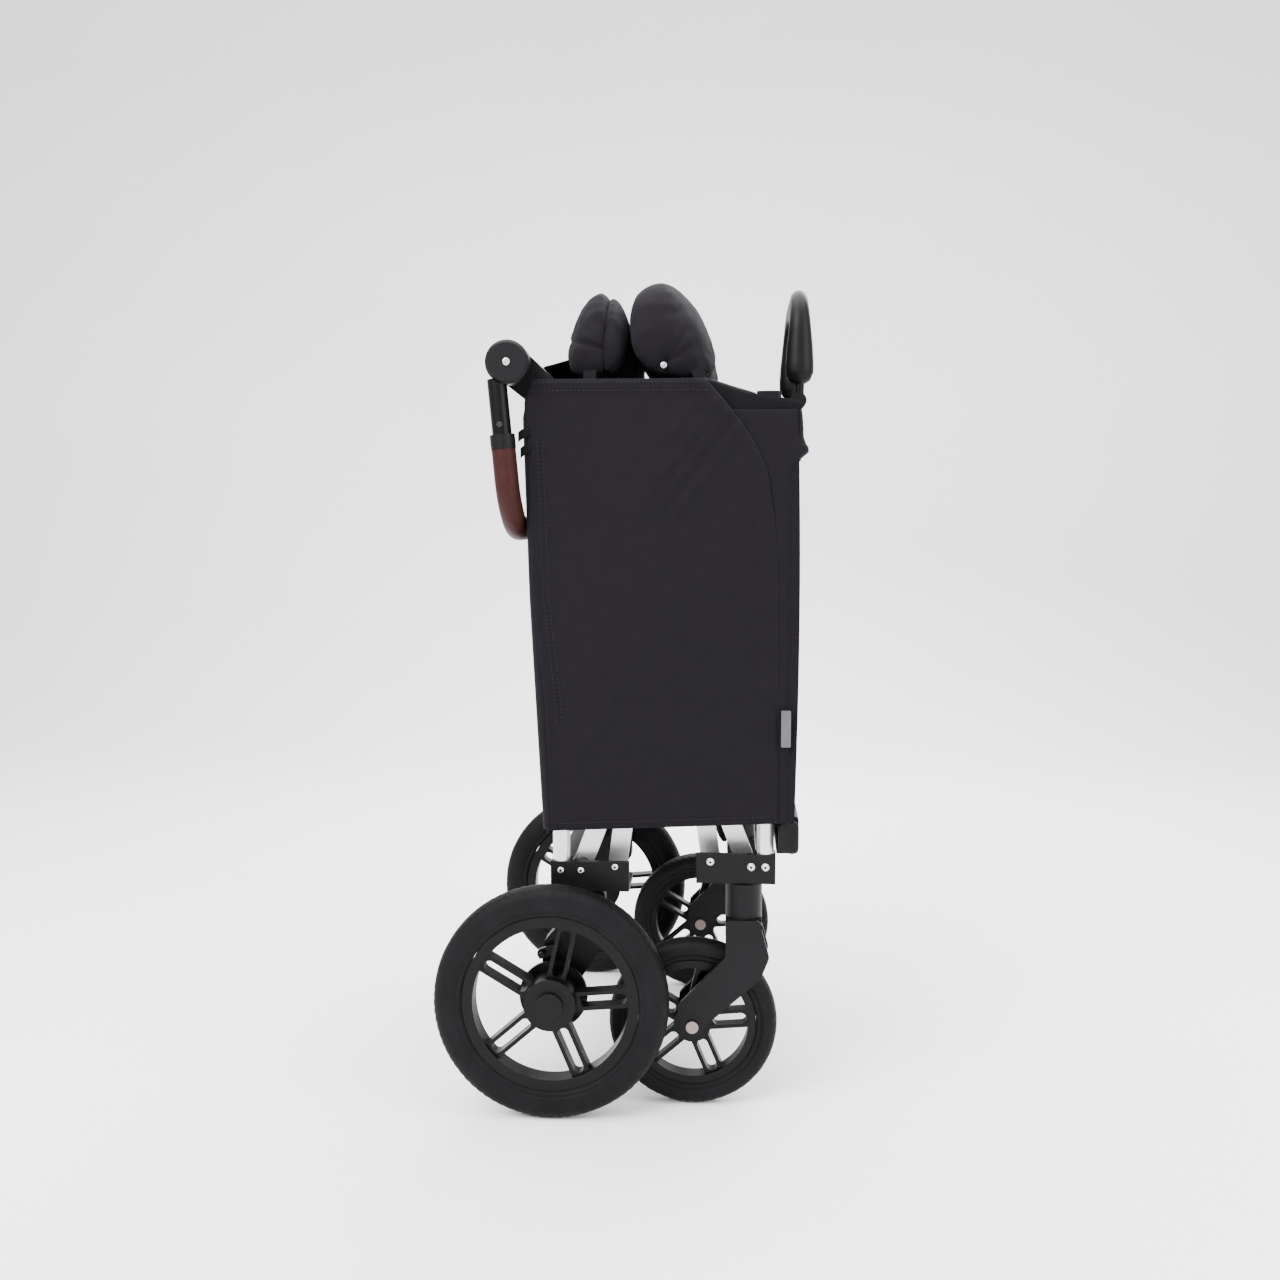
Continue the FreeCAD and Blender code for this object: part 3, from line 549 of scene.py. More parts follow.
def stitches(name, lines, outward, body):
    """Rows of sewn stitches along lines of points, lying on the side of the cloth that faces outward."""
    points = []
    faces = []
    sides = 6
    sections = ((0.0, -0.4, 0.4), (0.25, 0.5, 1.0), (0.75, 0.5, 1.0), (1.0, -0.4, 0.4))
    out = Vector(outward).normalized()
    for line in lines:
        spots = resample(line, STITCH_PITCH)
        for here, after in zip(spots[:-1], spots[1:]):
            start = Vector(here)
            ahead = (Vector(after) - start).normalized()
            across = ahead.cross(out).normalized()
            base = len(points)
            for share, lift, size in sections:
                centre = start + ahead * STITCH_LENGTH * share + out * STITCH_R * lift
                for step in range(sides):
                    turn = math.tau * step / sides
                    offset = across * math.cos(turn) * 1.3 + out * math.sin(turn)
                    points.append(centre + offset * STITCH_R * size)
            for face in ring_faces(sides, len(sections)):
                faces.append(tuple(base + corner for corner in face))
    obj = add_solid(name, points, faces, DARK_THREAD)
    place(obj, "fabric", body)
    return obj


def plate(name, outline, side_faces, bevel, material, segments=3):
    """Flat moulded plate from an (x, z) outline between two places along Y, with rounded edges."""
    points = [(x, y, z) for y in side_faces for x, z in outline]
    faces = end_faces(len(outline), 2) + ring_faces(len(outline), 2)
    obj = add_solid(name, points, faces, material)
    rounding = obj.modifiers.new("rounding", "BEVEL")
    rounding.width = bevel
    rounding.segments = segments
    rounding.limit_method = "ANGLE"
    rounding.angle_limit = math.radians(50)
    apply_modifiers(obj)
    for polygon in obj.data.polygons:
        polygon.use_smooth = len(polygon.vertices) <= 4
    return obj


def ring_outline(x, z, radius, count=28):
    """Circle as an (x, z) outline."""
    turns = [math.tau * step / count for step in range(count)]
    return [(x + radius * math.cos(turn), z + radius * math.sin(turn)) for turn in turns]


# Tyres


def tyre_profile(radius, half):
    """(radial distance, offset along the axle, how much tread) round the tyre's section."""
    bead = radius * 0.752
    depth = radius - bead
    side = [
        (bead, 0.74, 0), (bead + 0.003, 0.86, 0), (bead + 0.0055, 0.885, 0), (bead + 0.0060, 0.87, 0),
        (bead + 0.0070, 0.87, 0), (bead + 0.0075, 0.895, 0), (bead + 0.28 * depth, 0.955, 0),
        (bead + 0.42 * depth, 0.99, 0), (bead + 0.55 * depth, 1.0, 0), (bead + 0.66 * depth, 0.985, 0),
        (bead + 0.75 * depth, 0.94, 0.2), (bead + 0.83 * depth, 0.86, 0.8), (bead + 0.90 * depth, 0.74, 1),
        (bead + 0.945 * depth, 0.61, 1), (bead + 0.975 * depth, 0.46, 1), (bead + 0.99 * depth, 0.33, 1),
        (bead + 0.997 * depth, 0.22, 1), (radius, 0.12, 1),
    ]
    left = [(r, -share * half, tread) for r, share, tread in side]
    right = [(r, share * half, tread) for r, share, tread in reversed(side)]
    return left + right


def tread_depth(share, turn, blocks):
    """How deep the fine tread is cut, from 0 to 1, at a place across the tyre and round it."""
    phase = (turn * blocks / math.tau + abs(share) * 1.6) % 1.0
    sipe = 1.0 - smooth_step(0.10, 0.22, abs(phase - 0.5))
    rib = 1.0 - smooth_step(0.04, 0.09, abs(abs(share) - 0.28))
    return max(sipe * smooth_step(0.30, 0.42, abs(share)), rib)


def treaded_tyre(name, node, body, blocks):
    """Tyre with its fine tread and slightly uneven skin."""
    low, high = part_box(node)
    centre = (low + high) / 2
    radius = (high.z - low.z) / 2
    half = (high.y - low.y) / 2
    profile = tyre_profile(radius, half)
    steps = blocks * 8
    points = []
    for step in range(steps):
        turn = math.tau * step / steps
        for reach, offset, tread in profile:
            cut = tread_depth(offset / half, turn, blocks) * TREAD_CUT * tread
            wobble = 0.00025 * ripple(turn * 3, offset * 40, reach, 0.4)
            length = reach - cut + wobble * tread
            x = centre.x + length * math.cos(turn)
            z = centre.z + length * math.sin(turn)
            points.append((x, centre.y + offset, z))
    obj = add_solid(name, points, ring_faces(len(profile), steps, closed=True), RUBBER)
    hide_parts(node)
    place(obj, "tyre", body)


def tyres():
    """The four tyres with their tread."""
    for side, _ in SIDES:
        for wheel, blocks in (("rear", REAR_TREADS), ("front", FRONT_TREADS)):
            treaded_tyre(f"{wheel}_tread_{side}", f"{wheel}_tyre_{side}", f"{side}_{wheel}_wheel", blocks)


def turned(name, centre, side, profile, material, count=64):
    """Round piece about a wheel's axle, from (radius, height above the rim's face) pairs."""
    points = []
    for radius, height in profile:
        for step in range(count):
            turn = math.tau * step / count
            x = centre.x + radius * math.cos(turn)
            z = centre.z + radius * math.sin(turn)
            points.append((x, centre.y + side * height, z))
    faces = ring_faces(count, len(profile))
    points.append((centre.x, centre.y + side * profile[-1][1], centre.z))
    points.append((centre.x, centre.y + side * profile[0][1], centre.z))
    top = (len(profile) - 1) * count
    for step in range(count):
        after = (step + 1) % count
        faces.append((top + step, top + after, len(points) - 2))
        faces.append((after, step, len(points) - 1))
    obj = add_solid(name, points, faces, material)
    obj.data.set_sharp_from_angle(angle=math.radians(40))
    return obj


def hub_details():
    """Round flange with a shallow groove in the middle of each wheel."""
    for wheel, size in (("rear", 0.031), ("front", 0.024)):
        for side, sign in SIDES:
            low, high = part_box(f"{wheel}_rim_{side}")
            centre = (low + high) / 2
            centre.y = high.y if sign > 0 else low.y
            profile = [
                (size, -0.012), (size, -0.0066), (size - 0.0010, -0.0056), (size - 0.0040, -0.0050),
                (size - 0.0050, -0.0060), (size - 0.0062, -0.0060), (size - 0.0072, -0.0048),
                (size * 0.56, -0.0044),
            ]
            flange = turned(f"{wheel}_hub_flange_{side}", centre, sign, profile, WHEEL_PLASTIC)
            place(flange, "wheel_plastic", f"{side}_{wheel}_wheel")


# Side fabric


def foot_rise(x):
    """How much higher the foot of the side fabric is here than at the rear edge."""
    return FOOT_RISE * min(1.0, max(0.0, (x - AXLE_X) / 0.28))


def panel_bulge(x, z):
    """How far the outer layer stands out from its flat place."""
    foot = PANEL_FOOT + foot_rise(x)
    left = ux(look_up(LEFT_EDGE, z))
    right = ux(look_up(FOLD_LINE, z))
    across = (x - left) / (right - left)
    up = (z - PANEL_FOOT) / (PANEL_TOP - PANEL_FOOT)
    crown = math.sin(math.pi * min(1, max(0, across))) * math.sin(math.pi * min(1, max(0, up))) ** 0.6
    out = 0.0042 * crown
    out += 0.0020 * crown * ripple(x, 0, z, 0.11, 3.0)
    out += 0.0009 * ripple(x, 0, z * 0.5, 0.035, 7.0) * crown
    pull = (x - left) * 0.80 - (z - PANEL_FOOT - 0.020) * 0.45
    low_corner = (1 - smooth_step(0.05, 0.20, x - left)) * (1 - smooth_step(0.10, 0.26, z - PANEL_FOOT))
    drape = math.exp(-((pull / 0.007) ** 2)) - math.exp(-(((pull - 0.016) / 0.008) ** 2))
    out += 0.0022 * low_corner * crown * drape
    along = (x - ux(0.20)) * 0.80 - (z - 0.845) * 0.60
    for offset, size, depth in SLANT_FOLDS:
        fade = smooth_step(0.70, 0.80, z) * smooth_step(0.10, 0.17, x - AXLE_X)
        fade *= 1 - smooth_step(PANEL_TOP - 0.030, PANEL_TOP - 0.016, z)
        out += depth * fade * math.exp(-(((along - offset) / size) ** 2))
    seam = x - left - 0.017
    if 0.50 < z < 0.86:
        out -= 0.0011 * math.exp(-((seam / 0.0022) ** 2))
    out += 0.0010 * smooth_step(PANEL_TOP - HEM_HEIGHT - 0.001, PANEL_TOP - HEM_HEIGHT + 0.001, z)
    out += 0.0009 * (1 - smooth_step(foot + 0.011, foot + 0.013, z))
    out += 0.0008 * (1 - smooth_step(0.007, 0.009, x - left))
    roll = right - x
    out += 0.0022 * math.exp(-(((roll - 0.012) / 0.008) ** 2)) * smooth_step(0.40, 0.55, z)
    return out


def side_row(z, level):
    """One level of the Z-folded side fabric: (x, |y|, z, flat distance from its rear edge)."""
    left = ux(look_up(LEFT_EDGE, z))
    fold = ux(look_up(FOLD_LINE, z))
    back = fold - FOLD_TRAVEL / 2
    front = ux(FRONT_EDGE + 0.004 * math.sin(math.pi * level))
    low = (1 - level) ** 3
    row = []
    for x in spread(left, fold, 65):
        height = z + low * foot_rise(x)
        row.append((x, OUTER_LAYER_Y + panel_bulge(x, height), height, x))
    for x in spread(fold, back, 35)[1:]:
        settle = 0.0004 * ripple(x, 1, z, 0.05)
        row.append((x, MIDDLE_LAYER_Y + settle, z + low * foot_rise(x), 2 * fold - x))
    for x in spread(back, front, 50)[1:]:
        drop = (PANEL_TOP - look_up(RAIL_SLOPE, x - AXLE_X)) * smooth_step(0.45, 1.0, level)
        swell = smooth_step(0.20, 0.29, x - AXLE_X)
        wave = 0.0005 * (1 + math.sin(6.0 + 210.0 * (x - AXLE_X))) * swell * (0.7 + 0.3 * math.sin(5 * level))
        height = z - drop + low * foot_rise(x)
        row.append((x, INNER_LAYER_Y + wave, height, 2 * fold - 2 * back + x))
    return row


def side_fabric(side, sign):
    """The whole side of the cabin, folded in three between the rear and front posts."""
    heights = [(PANEL_FOOT + (PANEL_TOP - PANEL_FOOT) * level, level) for level in spread(0, 1, 96)]
    table = np.array([side_row(z, level) for z, level in heights])
    grid = table[:, :, :3].copy()
    grid[:, :, 1] *= sign
    obj = thick_sheet("side_fabric_" + side, grid, FABRIC)
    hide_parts("side_cover_" + side)
    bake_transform(obj)
    seams = side_stitches(side, sign)


def on_panel(x, z, sign):
    """Where a stitch lies on the outer layer."""
    lift = CLOTH / 2 + STITCH_R * 0.3
    return (x, sign * (OUTER_LAYER_Y + panel_bulge(x, z) + lift), z)


def side_stitches(side, sign):
    """Double hem along the top, the seam inside the rear edge and the hem along the foot."""
    lines = []
    for depth in (0.0045, HEM_HEIGHT - 0.0025):
        z = PANEL_TOP - depth
        start = ux(look_up(LEFT_EDGE, z) + 0.004)
        end = ux(look_up(FOLD_LINE, z) - 0.004)
        lines.append([on_panel(x, z, sign) for x in spread(start, end, 60)])
    for inset in (0.0135, 0.0205):
        heights = spread(0.502, 0.858, 60)
        lines.append([on_panel(ux(look_up(LEFT_EDGE, z)) + inset, z, sign) for z in heights])
    places = spread(ux(0.004), ux(0.278), 60)
    lines.append([on_panel(x, PANEL_FOOT + foot_rise(x) + 0.009, sign) for x in places])
    return stitches("side_stitching_" + side, lines, (0, sign, 0), "rear_frame")


# End fabrics


def wrap_outline(plane, tuck, half, radius, count):
    """Plan of a fabric that crosses one end of the cabin and wraps its two corners back to tuck."""
    heading = 1 if plane > tuck else -1
    points = [(x, half) for x in spread(tuck, plane - heading * radius, 7)[:-1]]
    for step in range(9):
        turn = math.pi / 2 * step / 9
        x = plane - heading * radius + heading * radius * math.sin(turn)
        points.append((x, half - radius + radius * math.cos(turn)))
    inner = half - radius
    corner = points[::-1]
    points += [(plane, y) for y in spread(inner, -inner, count)]
    points += [(x, -y) for x, y in corner]
    return points


def front_billow(y, level):
    """How far the front fabric stands out between its posts."""
    return 0.0035 * math.cos(math.pi * y / 0.5) * math.sin(math.pi * level)


def front_fabric():
    """Front of the cabin: wraps both front posts, with soft upright folds and a peak under the rail."""
    plane_at = [
        (END_FOOT, 0.299), (0.660, 0.3005), (0.815, 0.3010), (0.833, 0.308), (0.844, 0.3210),
        (0.850, 0.3160), (0.860, 0.3125), (0.882, 0.3115), (FRONT_TOP, 0.3100),
    ]
    rows = []
    for level in spread(0, 1, 130):
        z = END_FOOT + (FRONT_TOP - END_FOOT) * level
        plane = ux(look_up(plane_at, z))
        row = []
        tuck = ux(look_up(FOLD_LINE, z) - 0.022)
        for x, y in wrap_outline(plane, tuck, half=0.2488, radius=0.012, count=60):
            side = smooth_step(0.19, 0.235, abs(y))
            billow = (1 - side) * front_billow(y, level)
            billow += (1 - side) * 0.0022 * ripple(0, y * 1.6, z * 0.5, 0.09, 5.0)
            fold = 0.0014 * math.sin(y * 46 + 2.5 * ripple(0, y, z, 0.3, 2.0)) * (1 - side)
            lean = x - ux(0.287) - 0.006 * math.sin(7 * z)
            out = 0.0020 * math.exp(-((lean / 0.0040) ** 2)) * side * smooth_step(0.36, 0.5, z)
            out += 0.0007 * ripple(x, y, z * 0.3, 0.02, 9.0) * side
            rise = FRONT_FOOT_RISE * side * (1 - level) ** 3
            row.append((x + billow + fold, y + math.copysign(out, y), z + rise))
        rows.append(row)
    obj = thick_sheet("front_fabric", rows, FABRIC)
    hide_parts("front_wall")
    place(obj, "fabric", "front_frame")
    lines = []
    for height in (0.360, 0.872):
        plane = ux(look_up(plane_at, height)) + 0.0025
        level = (height - END_FOOT) / (FRONT_TOP - END_FOOT)
        lines.append([(plane + front_billow(y, level), y, height) for y in spread(-0.205, 0.205, 80)])
    seams = stitches("front_stitching", lines, (1, 0, 0), "front_frame")


def rear_fabric():
    """Rear of the cabin, drawn round both rear posts and up to the rear bar."""
    plane_at = [(END_FOOT, -0.014), (0.657, -0.030), (0.890, -0.037)]
    rows = []
    for level in spread(0, 1, 70):
        z = END_FOOT + (REAR_TOP - END_FOOT) * level
        plane = ux(look_up(plane_at, z))
        row = []
        tuck = ux(look_up(LEFT_EDGE, z) + 0.030)
        for x, y in wrap_outline(plane, tuck, half=0.2490, radius=0.014, count=56):
            side = smooth_step(0.19, 0.235, abs(y))
            billow = (1 - side) * 0.003 * ripple(0, y * 1.4, z * 0.6, 0.10, 11.0)
            row.append((x + billow, y, z + REAR_FOOT_RISE * side * (1 - level) ** 3))
        rows.append(row)
    obj = thick_sheet("rear_fabric", rows, FABRIC)
    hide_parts("rear_wall")
    place(obj, "fabric", "rear_frame")
    trims = rear_top_flap()


def rear_top_flap():
    """The rear fabric's top, taken over the rear bar, and its hem."""
    low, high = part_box("rear_top_bar")
    bar = (low + high) / 2
    radius = (high.z - low.z) / 2 + 0.0016
    section = [(ux(-0.0400), 0.876), (ux(-0.0396), 0.888), (ux(-0.0380), 0.899)]
    for step in range(19):
        turn = math.radians(200 - 235 * step / 18)
        section.append((bar.x + radius * math.cos(turn), bar.z + radius * math.sin(turn)))
    section.append((bar.x + 0.003, bar.z - 0.018))
    rows = []
    for x, z in section:
        rows.append([(x + 0.0008 * ripple(x, y, z, 0.05, 4.0), y, z) for y in spread(0.2135, -0.2135, 60)])
    obj = thick_sheet("rear_top_flap", rows, FABRIC_TRIM)
    place(obj, "fabric", "rear_frame")
    line = [(ux(-0.0405), y, 0.881) for y in spread(0.205, -0.205, 80)]
    return [obj, stitches("rear_stitching", [line], (-1, 0, 0), "rear_frame")]


def rail_sleeves():
    """Binding sleeve sewn round the top rail, open where the handle clamps and corner joints sit."""
    rail_x = ux(0.297)
    rail_y = middle("rail_joints").y + 0.229
    rail_z = 0.897
    radius = 0.0112
    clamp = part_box("front_handle_clamps")[1].y
    inner = clamp - 0.034
    line = [(rail_x, y, rail_z) for y in spread(-inner, inner, 40)]
    parts = [tube("rail_sleeve_middle", line, radius, FABRIC_TRIM, sides=20, flatten=0.98)]
    for side, sign in SIDES:
        line = [(rail_x, sign * y, rail_z) for y in spread(clamp + 0.002, clamp + 0.070, 16)]
        parts.append(tube("rail_sleeve_front_" + side, line, radius, FABRIC_TRIM, sides=20))
        controls = [
            (ux(0.186), sign * rail_y, 0.9235),
            (ux(0.226), sign * rail_y, 0.9110),
            (ux(0.250), sign * rail_y, 0.9035),
        ]
        line = smooth_line(controls, 24)
        parts.append(tube("rail_sleeve_side_" + side, line, 0.0118, FABRIC_TRIM, sides=20, flatten=1.05))
    for part in parts:
        wrinkle(part, depth=0.0004, size=0.018)
        place(part, "fabric", "front_frame")


def rim_bands():
    """Flat dark band on the outside of the side fabric, under the sloping rail."""
    for side, sign in SIDES:
        rows = []
        for level in spread(0, 1, 8):
            row = []
            for u in spread(BAND_START, FRONT_EDGE + 0.002, 40):
                top = look_up(RAIL_SLOPE, u) + 0.001
                z = top - (top - look_up(BAND_FOOT, u)) * level
                puff = 0.0007 * math.sin(math.pi * level)
                row.append((ux(u), sign * (INNER_LAYER_Y + 0.0018 + puff), z))
            rows.append(row)
        obj = thick_sheet("rim_band_" + side, rows, FABRIC_TRIM, thickness=0.0010)
        place(obj, "fabric", "front_frame")


def wrinkle(obj, depth, size):
    """Moves a mesh's points a little along their normals, as slack cloth does."""
    moved = [
        vertex.co + vertex.normal * depth * ripple(*vertex.co, size, 6.0) for vertex in obj.data.vertices
    ]
    move_points(obj.data, moved)


# Hoods


def hood_section(outline, y):
    """The bundle's outline at a place across the hood, lowered where its shoulders are rounded."""
    base = min(z for x, z in outline)
    top = max(z for x, z in outline)
    reach = abs(y) - (HOOD_HALF - HOOD_CORNER)
    limit = top
    if reach > 0:
        limit = top - HOOD_CORNER + math.sqrt(max(0.0, HOOD_CORNER**2 - reach**2))
    share = (limit - base) / (top - base)
    centre = sum(x for x, z in outline) / len(outline)
    pinch = 1.0 - 0.10 * smooth_step(HOOD_HALF - 0.02, HOOD_HALF, abs(y))
    return [(centre + (x - centre) * pinch, base + (z - base) * share) for x, z in outline]


def hood_block(name, outline):
    """Closed starting form of one padded leaf of a hood."""
    closed = smooth_loop(outline, 40)
    stations = spread(-HOOD_HALF, HOOD_HALF, 44)
    points = [(x, y, z) for y in stations for x, z in hood_section(closed, y)]
    faces = end_faces(len(closed), len(stations)) + ring_faces(len(closed), len(stations))
    return add_solid(name, points, faces, FABRIC)


def smooth_loop(outline, count):
    """Rounded closed outline near the given corners."""
    corners = [Vector((x, z)) for x, z in outline]
    for _ in range(2):
        cut = []
        for index, corner in enumerate(corners):
            after = corners[(index + 1) % len(corners)]
            cut.append(corner.lerp(after, 0.25))
            cut.append(corner.lerp(after, 0.75))
        corners = cut
    lengths = [0.0]
    ring = corners + corners[:1]
    for here, after in zip(ring[:-1], ring[1:]):
        lengths.append(lengths[-1] + (after - here).length)
    stations = np.linspace(0, lengths[-1], count, endpoint=False)
    xs = np.interp(stations, lengths, [corner.x for corner in ring])
    zs = np.interp(stations, lengths, [corner.y for corner in ring])
    return list(zip(xs, zs))


def puff_up(obj, voxel, pressure, cap):
    """Inflates a padded piece with the cloth solver and bakes the result, each point moved by at most cap."""
    remesh = obj.modifiers.new("remesh", "REMESH")
    remesh.mode = "VOXEL"
    remesh.voxel_size = voxel
    apply_modifiers(obj)
    shade_smooth(obj.data)
    before = np.array([vertex.co for vertex in obj.data.vertices])
    modifier = obj.modifiers.new("cloth", "CLOTH")
    settings = modifier.settings
    settings.quality = 6
    settings.mass = 0.2
    settings.tension_stiffness = 18
    settings.compression_stiffness = 18
    settings.shear_stiffness = 8
    settings.bending_stiffness = 0.4
    settings.use_pressure = True
    settings.uniform_pressure_force = pressure
    settings.effector_weights.gravity = 0.0
    modifier.collision_settings.use_collision = False
    modifier.point_cache.frame_start = 1
    modifier.point_cache.frame_end = CLOTH_FRAMES
    for number in range(1, CLOTH_FRAMES + 1):
        bpy.context.scene.frame_set(number)
    apply_modifiers(obj)
    bpy.context.scene.frame_set(1)
    after = np.array([vertex.co for vertex in obj.data.vertices])
    move = after - before
    size = np.maximum(np.linalg.norm(move, axis=1, keepdims=True), 1e-9)
    move *= np.minimum(1.0, cap / size)
    move_points(obj.data, before + move)
    soften = obj.modifiers.new("soften", "SMOOTH")
    soften.factor = 0.5
    soften.iterations = 3
    finer = obj.modifiers.new("finer", "SUBSURF")
    finer.levels = 1
    finer.render_levels = 1
    apply_modifiers(obj)
    shade_smooth(obj.data)


def press_in(obj, depth_at):
    """Moves each point inwards along its normal by depth_at(x, y, z, normal)."""
    moved = [
        vertex.co - vertex.normal * depth_at(*vertex.co, vertex.normal) for vertex in obj.data.vertices
    ]
    move_points(obj.data, moved)


def crease(distance, width, depth):
    """Depth of a soft groove at a distance from its middle."""
    return depth * math.exp(-((distance / width) ** 2))


def hood_leaf(name, outline, body, nodes, depth_at):
    """One padded leaf of a hood, puffed up and then sewn."""
    obj = hood_block(name, [(ux(u), z) for u, z in outline])
    puff_up(obj, voxel=0.006, pressure=4.0, cap=0.006)
    press_in(obj, depth_at)
    if nodes:
        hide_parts(*nodes)
    place(obj, "fabric", body)


def across_seams(y):
    """Sewn channels that run over the hood from front to back."""
    return sum(crease(y - place, 0.0035, 0.0040) for place in (-0.142, 0.0, 0.142))


def rear_hood_relief(x, y, z, normal):
    """Seams, the fold across each end and slack of the rear hood's outer leaf."""
    depth = across_seams(y) * (1 - abs(normal.y))
    end = smooth_step(0.4, 0.9, abs(normal.y))
    depth += crease(z - 0.9855 + 0.288 * (x - ux(0.015)), 0.0030, 0.0040) * max(end, 0.5 * abs(normal.x))
    slope = (z - 1.004) * 0.45 + (x - ux(0.036)) * 0.89
    depth += crease(slope, 0.0030, 0.0022) * end * smooth_step(0.988, 1.0, z)
    depth += 0.0016 * ripple(x, y, z, 0.035, 8.0) + 0.0007 * ripple(x, y, z, 0.012, 1.0)
    return depth


def front_hood_relief(x, y, z, normal):
    """Seams of the front hood, and the creases that fan out from its snap fasteners."""
    end = smooth_step(0.5, 0.9, abs(normal.y))
    across = x - ux(SNAP_U)
    up = z - SNAP_Z
    depth = crease(math.hypot(across, up), 0.007, 0.0035) * end
    for angle, length in ((1.30, 0.040), (0.98, 0.060), (0.62, 0.050), (1.75, 0.030)):
        ahead = across * math.cos(angle) + up * math.sin(angle)
        aside = -across * math.sin(angle) + up * math.cos(angle)
        fade = smooth_step(0.0, 0.008, ahead) * math.exp(-ahead / length)
        depth += crease(aside, 0.0026 + 0.06 * max(0.0, ahead), 0.0042) * fade * end
    depth += across_seams(y) * (1 - abs(normal.y))
    depth += 0.0015 * ripple(x, y, z, 0.045, 12.0) + 0.0006 * ripple(x, y, z, 0.012, 2.0)
    tail = crease(x - ux(0.192) + 0.45 * (z - 0.955), 0.0035, 0.0030)
    depth += tail * end * (1 - smooth_step(0.965, 0.985, z))
    return depth


def second_leaf_relief(x, y, z, normal):
    """Seams and slack of the rear hood's inner leaf."""
    depth = across_seams(y) * (1 - abs(normal.y))
    return depth + 0.0012 * ripple(x, y, z, 0.030, 15.0) + 0.0006 * ripple(x, y, z, 0.011, 3.0)


def hoods():
    """The two bundled hoods: the rear one has two leaves."""
    main = [
        (0.0185, 0.936), (0.0180, 0.978), (0.0250, 1.002), (0.0360, 1.040), (0.0500, 1.055), (0.0640, 1.058),
        (0.0665, 1.026), (0.0640, 0.990), (0.0660, 0.936),
    ]
    second = [
        (0.0600, 0.937), (0.0580, 0.990), (0.0600, 1.030), (0.0660, 1.051), (0.0750, 1.045), (0.0815, 1.022),
        (0.0835, 0.990), (0.0815, 0.968), (0.0730, 0.944), (0.0720, 0.936),
    ]
    front = [
        (0.130, 0.936), (0.0965, 0.981), (0.0945, 1.021), (0.0955, 1.045), (0.107, 1.060), (0.128, 1.066),
        (0.142, 1.063), (0.157, 1.045), (0.178, 1.020), (0.189, 0.996), (0.197, 0.969), (0.203, 0.957),
        (0.205, 0.936),
    ]
    hood_leaf("rear_hood_main", main, "rear_hood", ["rear_hood"], rear_hood_relief)
    hood_leaf("rear_hood_second", second, "rear_hood", [], second_leaf_relief)
    hood_leaf("front_hood_pad", front, "front_hood", ["front_hood"], front_hood_relief)


def hood_snaps():
    """Snap fasteners on the front hood's two ends."""
    outline = ring_outline(ux(SNAP_U), SNAP_Z, 0.0042)
    for side, sign in SIDES:
        ends = sorted((sign * (HOOD_HALF - 0.0038), sign * (HOOD_HALF + 0.0034)))
        snap = plate("hood_snap_" + side, outline, ends, bevel=0.0012, material=ZINC)
        place(snap, "zinc_bolt", "front_hood")


def hood_skirt():
    """Fabric web from the rear hood back and down to the rear bar."""
    bar = middle("rear_top_bar")
    controls = [
        (bar.x - 0.004, 0.0, bar.z + 0.009), (ux(-0.024), 0.0, 0.932), (ux(-0.018), 0.0, 0.951),
        (ux(-0.002), 0.0, 0.954), (ux(0.022), 0.0, 0.961),
    ]
    rows = []
    for point in smooth_line(controls, 28):
        row = []
        for y in spread(0.200, -0.200, 48):
            row.append((point.x, y, point.z + 0.0014 * ripple(point.x, y, point.z, 0.04, 1.5)))
        rows.append(row)
    obj = thick_sheet("hood_skirt", rows, FABRIC_TRIM)
    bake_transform(obj)


# Floor mats


def mat_pad(name, pivot_x, inward, node, body):
    """Quilted floor pad with a loose flap at its free end, made flat and then stood up with its panel."""
    low = FLOOR_PIVOT_Z + 0.0135
    length = MAT_LENGTH + 0.010
    reaches = spread(0.012, length, 24)
    places = spread(-MAT_HALF + 0.003, MAT_HALF - 0.003, 40)
    points = []
    for layer in (low + 0.001, low + MAT_THICK - 0.005):
        points += [(pivot_x + inward * reach, y, layer) for reach in reaches for y in places]
    pad = add_solid(name, points, slab_faces(len(reaches), len(places)), PAD_FABRIC)
    puff_up(pad, voxel=0.0055, pressure=4.0, cap=0.005)

    def channels(x, y, z, normal):
        reach = (x - pivot_x) * inward
        rows = sum(crease(reach - place, 0.0024, 0.0026) for place in (0.055, 0.098, 0.141))
        columns_in = sum(crease(y - place, 0.0024, 0.0026) for place in (-0.111, -0.055, 0.0, 0.055, 0.111))
        edge = crease(abs(y) - MAT_HALF + 0.006, 0.002, 0.0015)
        return (rows + columns_in + edge) * abs(normal.z) + 0.0004 * ripple(x, y, z, 0.02, 3.0)

    press_in(pad, channels)
    stand_up(pad, pivot_x, inward)
    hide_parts(node)
    place(pad, "mat_fabric", body)
    rows = []
    for share in spread(0, 1, 14):
        reach = length - 0.012 + (MAT_FLAP + 0.012) * share
        row = []
        for y in spread(-MAT_HALF + 0.004, MAT_HALF - 0.004, 60):
            lift = 0.0010 * ripple(reach, y, 0, 0.045, 2.0) - inward * 0.0045
            row.append((pivot_x + inward * reach, y, low + 0.005 + lift * share))
        rows.append(row)
    flap = thick_sheet(name + "_flap", rows, PAD_FABRIC, thickness=0.0022)
    stand_up(flap, pivot_x, inward)
    place(flap, "mat_fabric", body)


def stand_up(obj, pivot_x, inward):
    """Turns a piece made flat about the panel's pivot to the panel's standing place."""
    turn = Matrix.Rotation(-inward * FLOOR_SWING, 4, "Y")
    pivot = Matrix.Translation((pivot_x, 0, FLOOR_PIVOT_Z))
    obj.data.transform(pivot @ turn @ pivot.inverted())


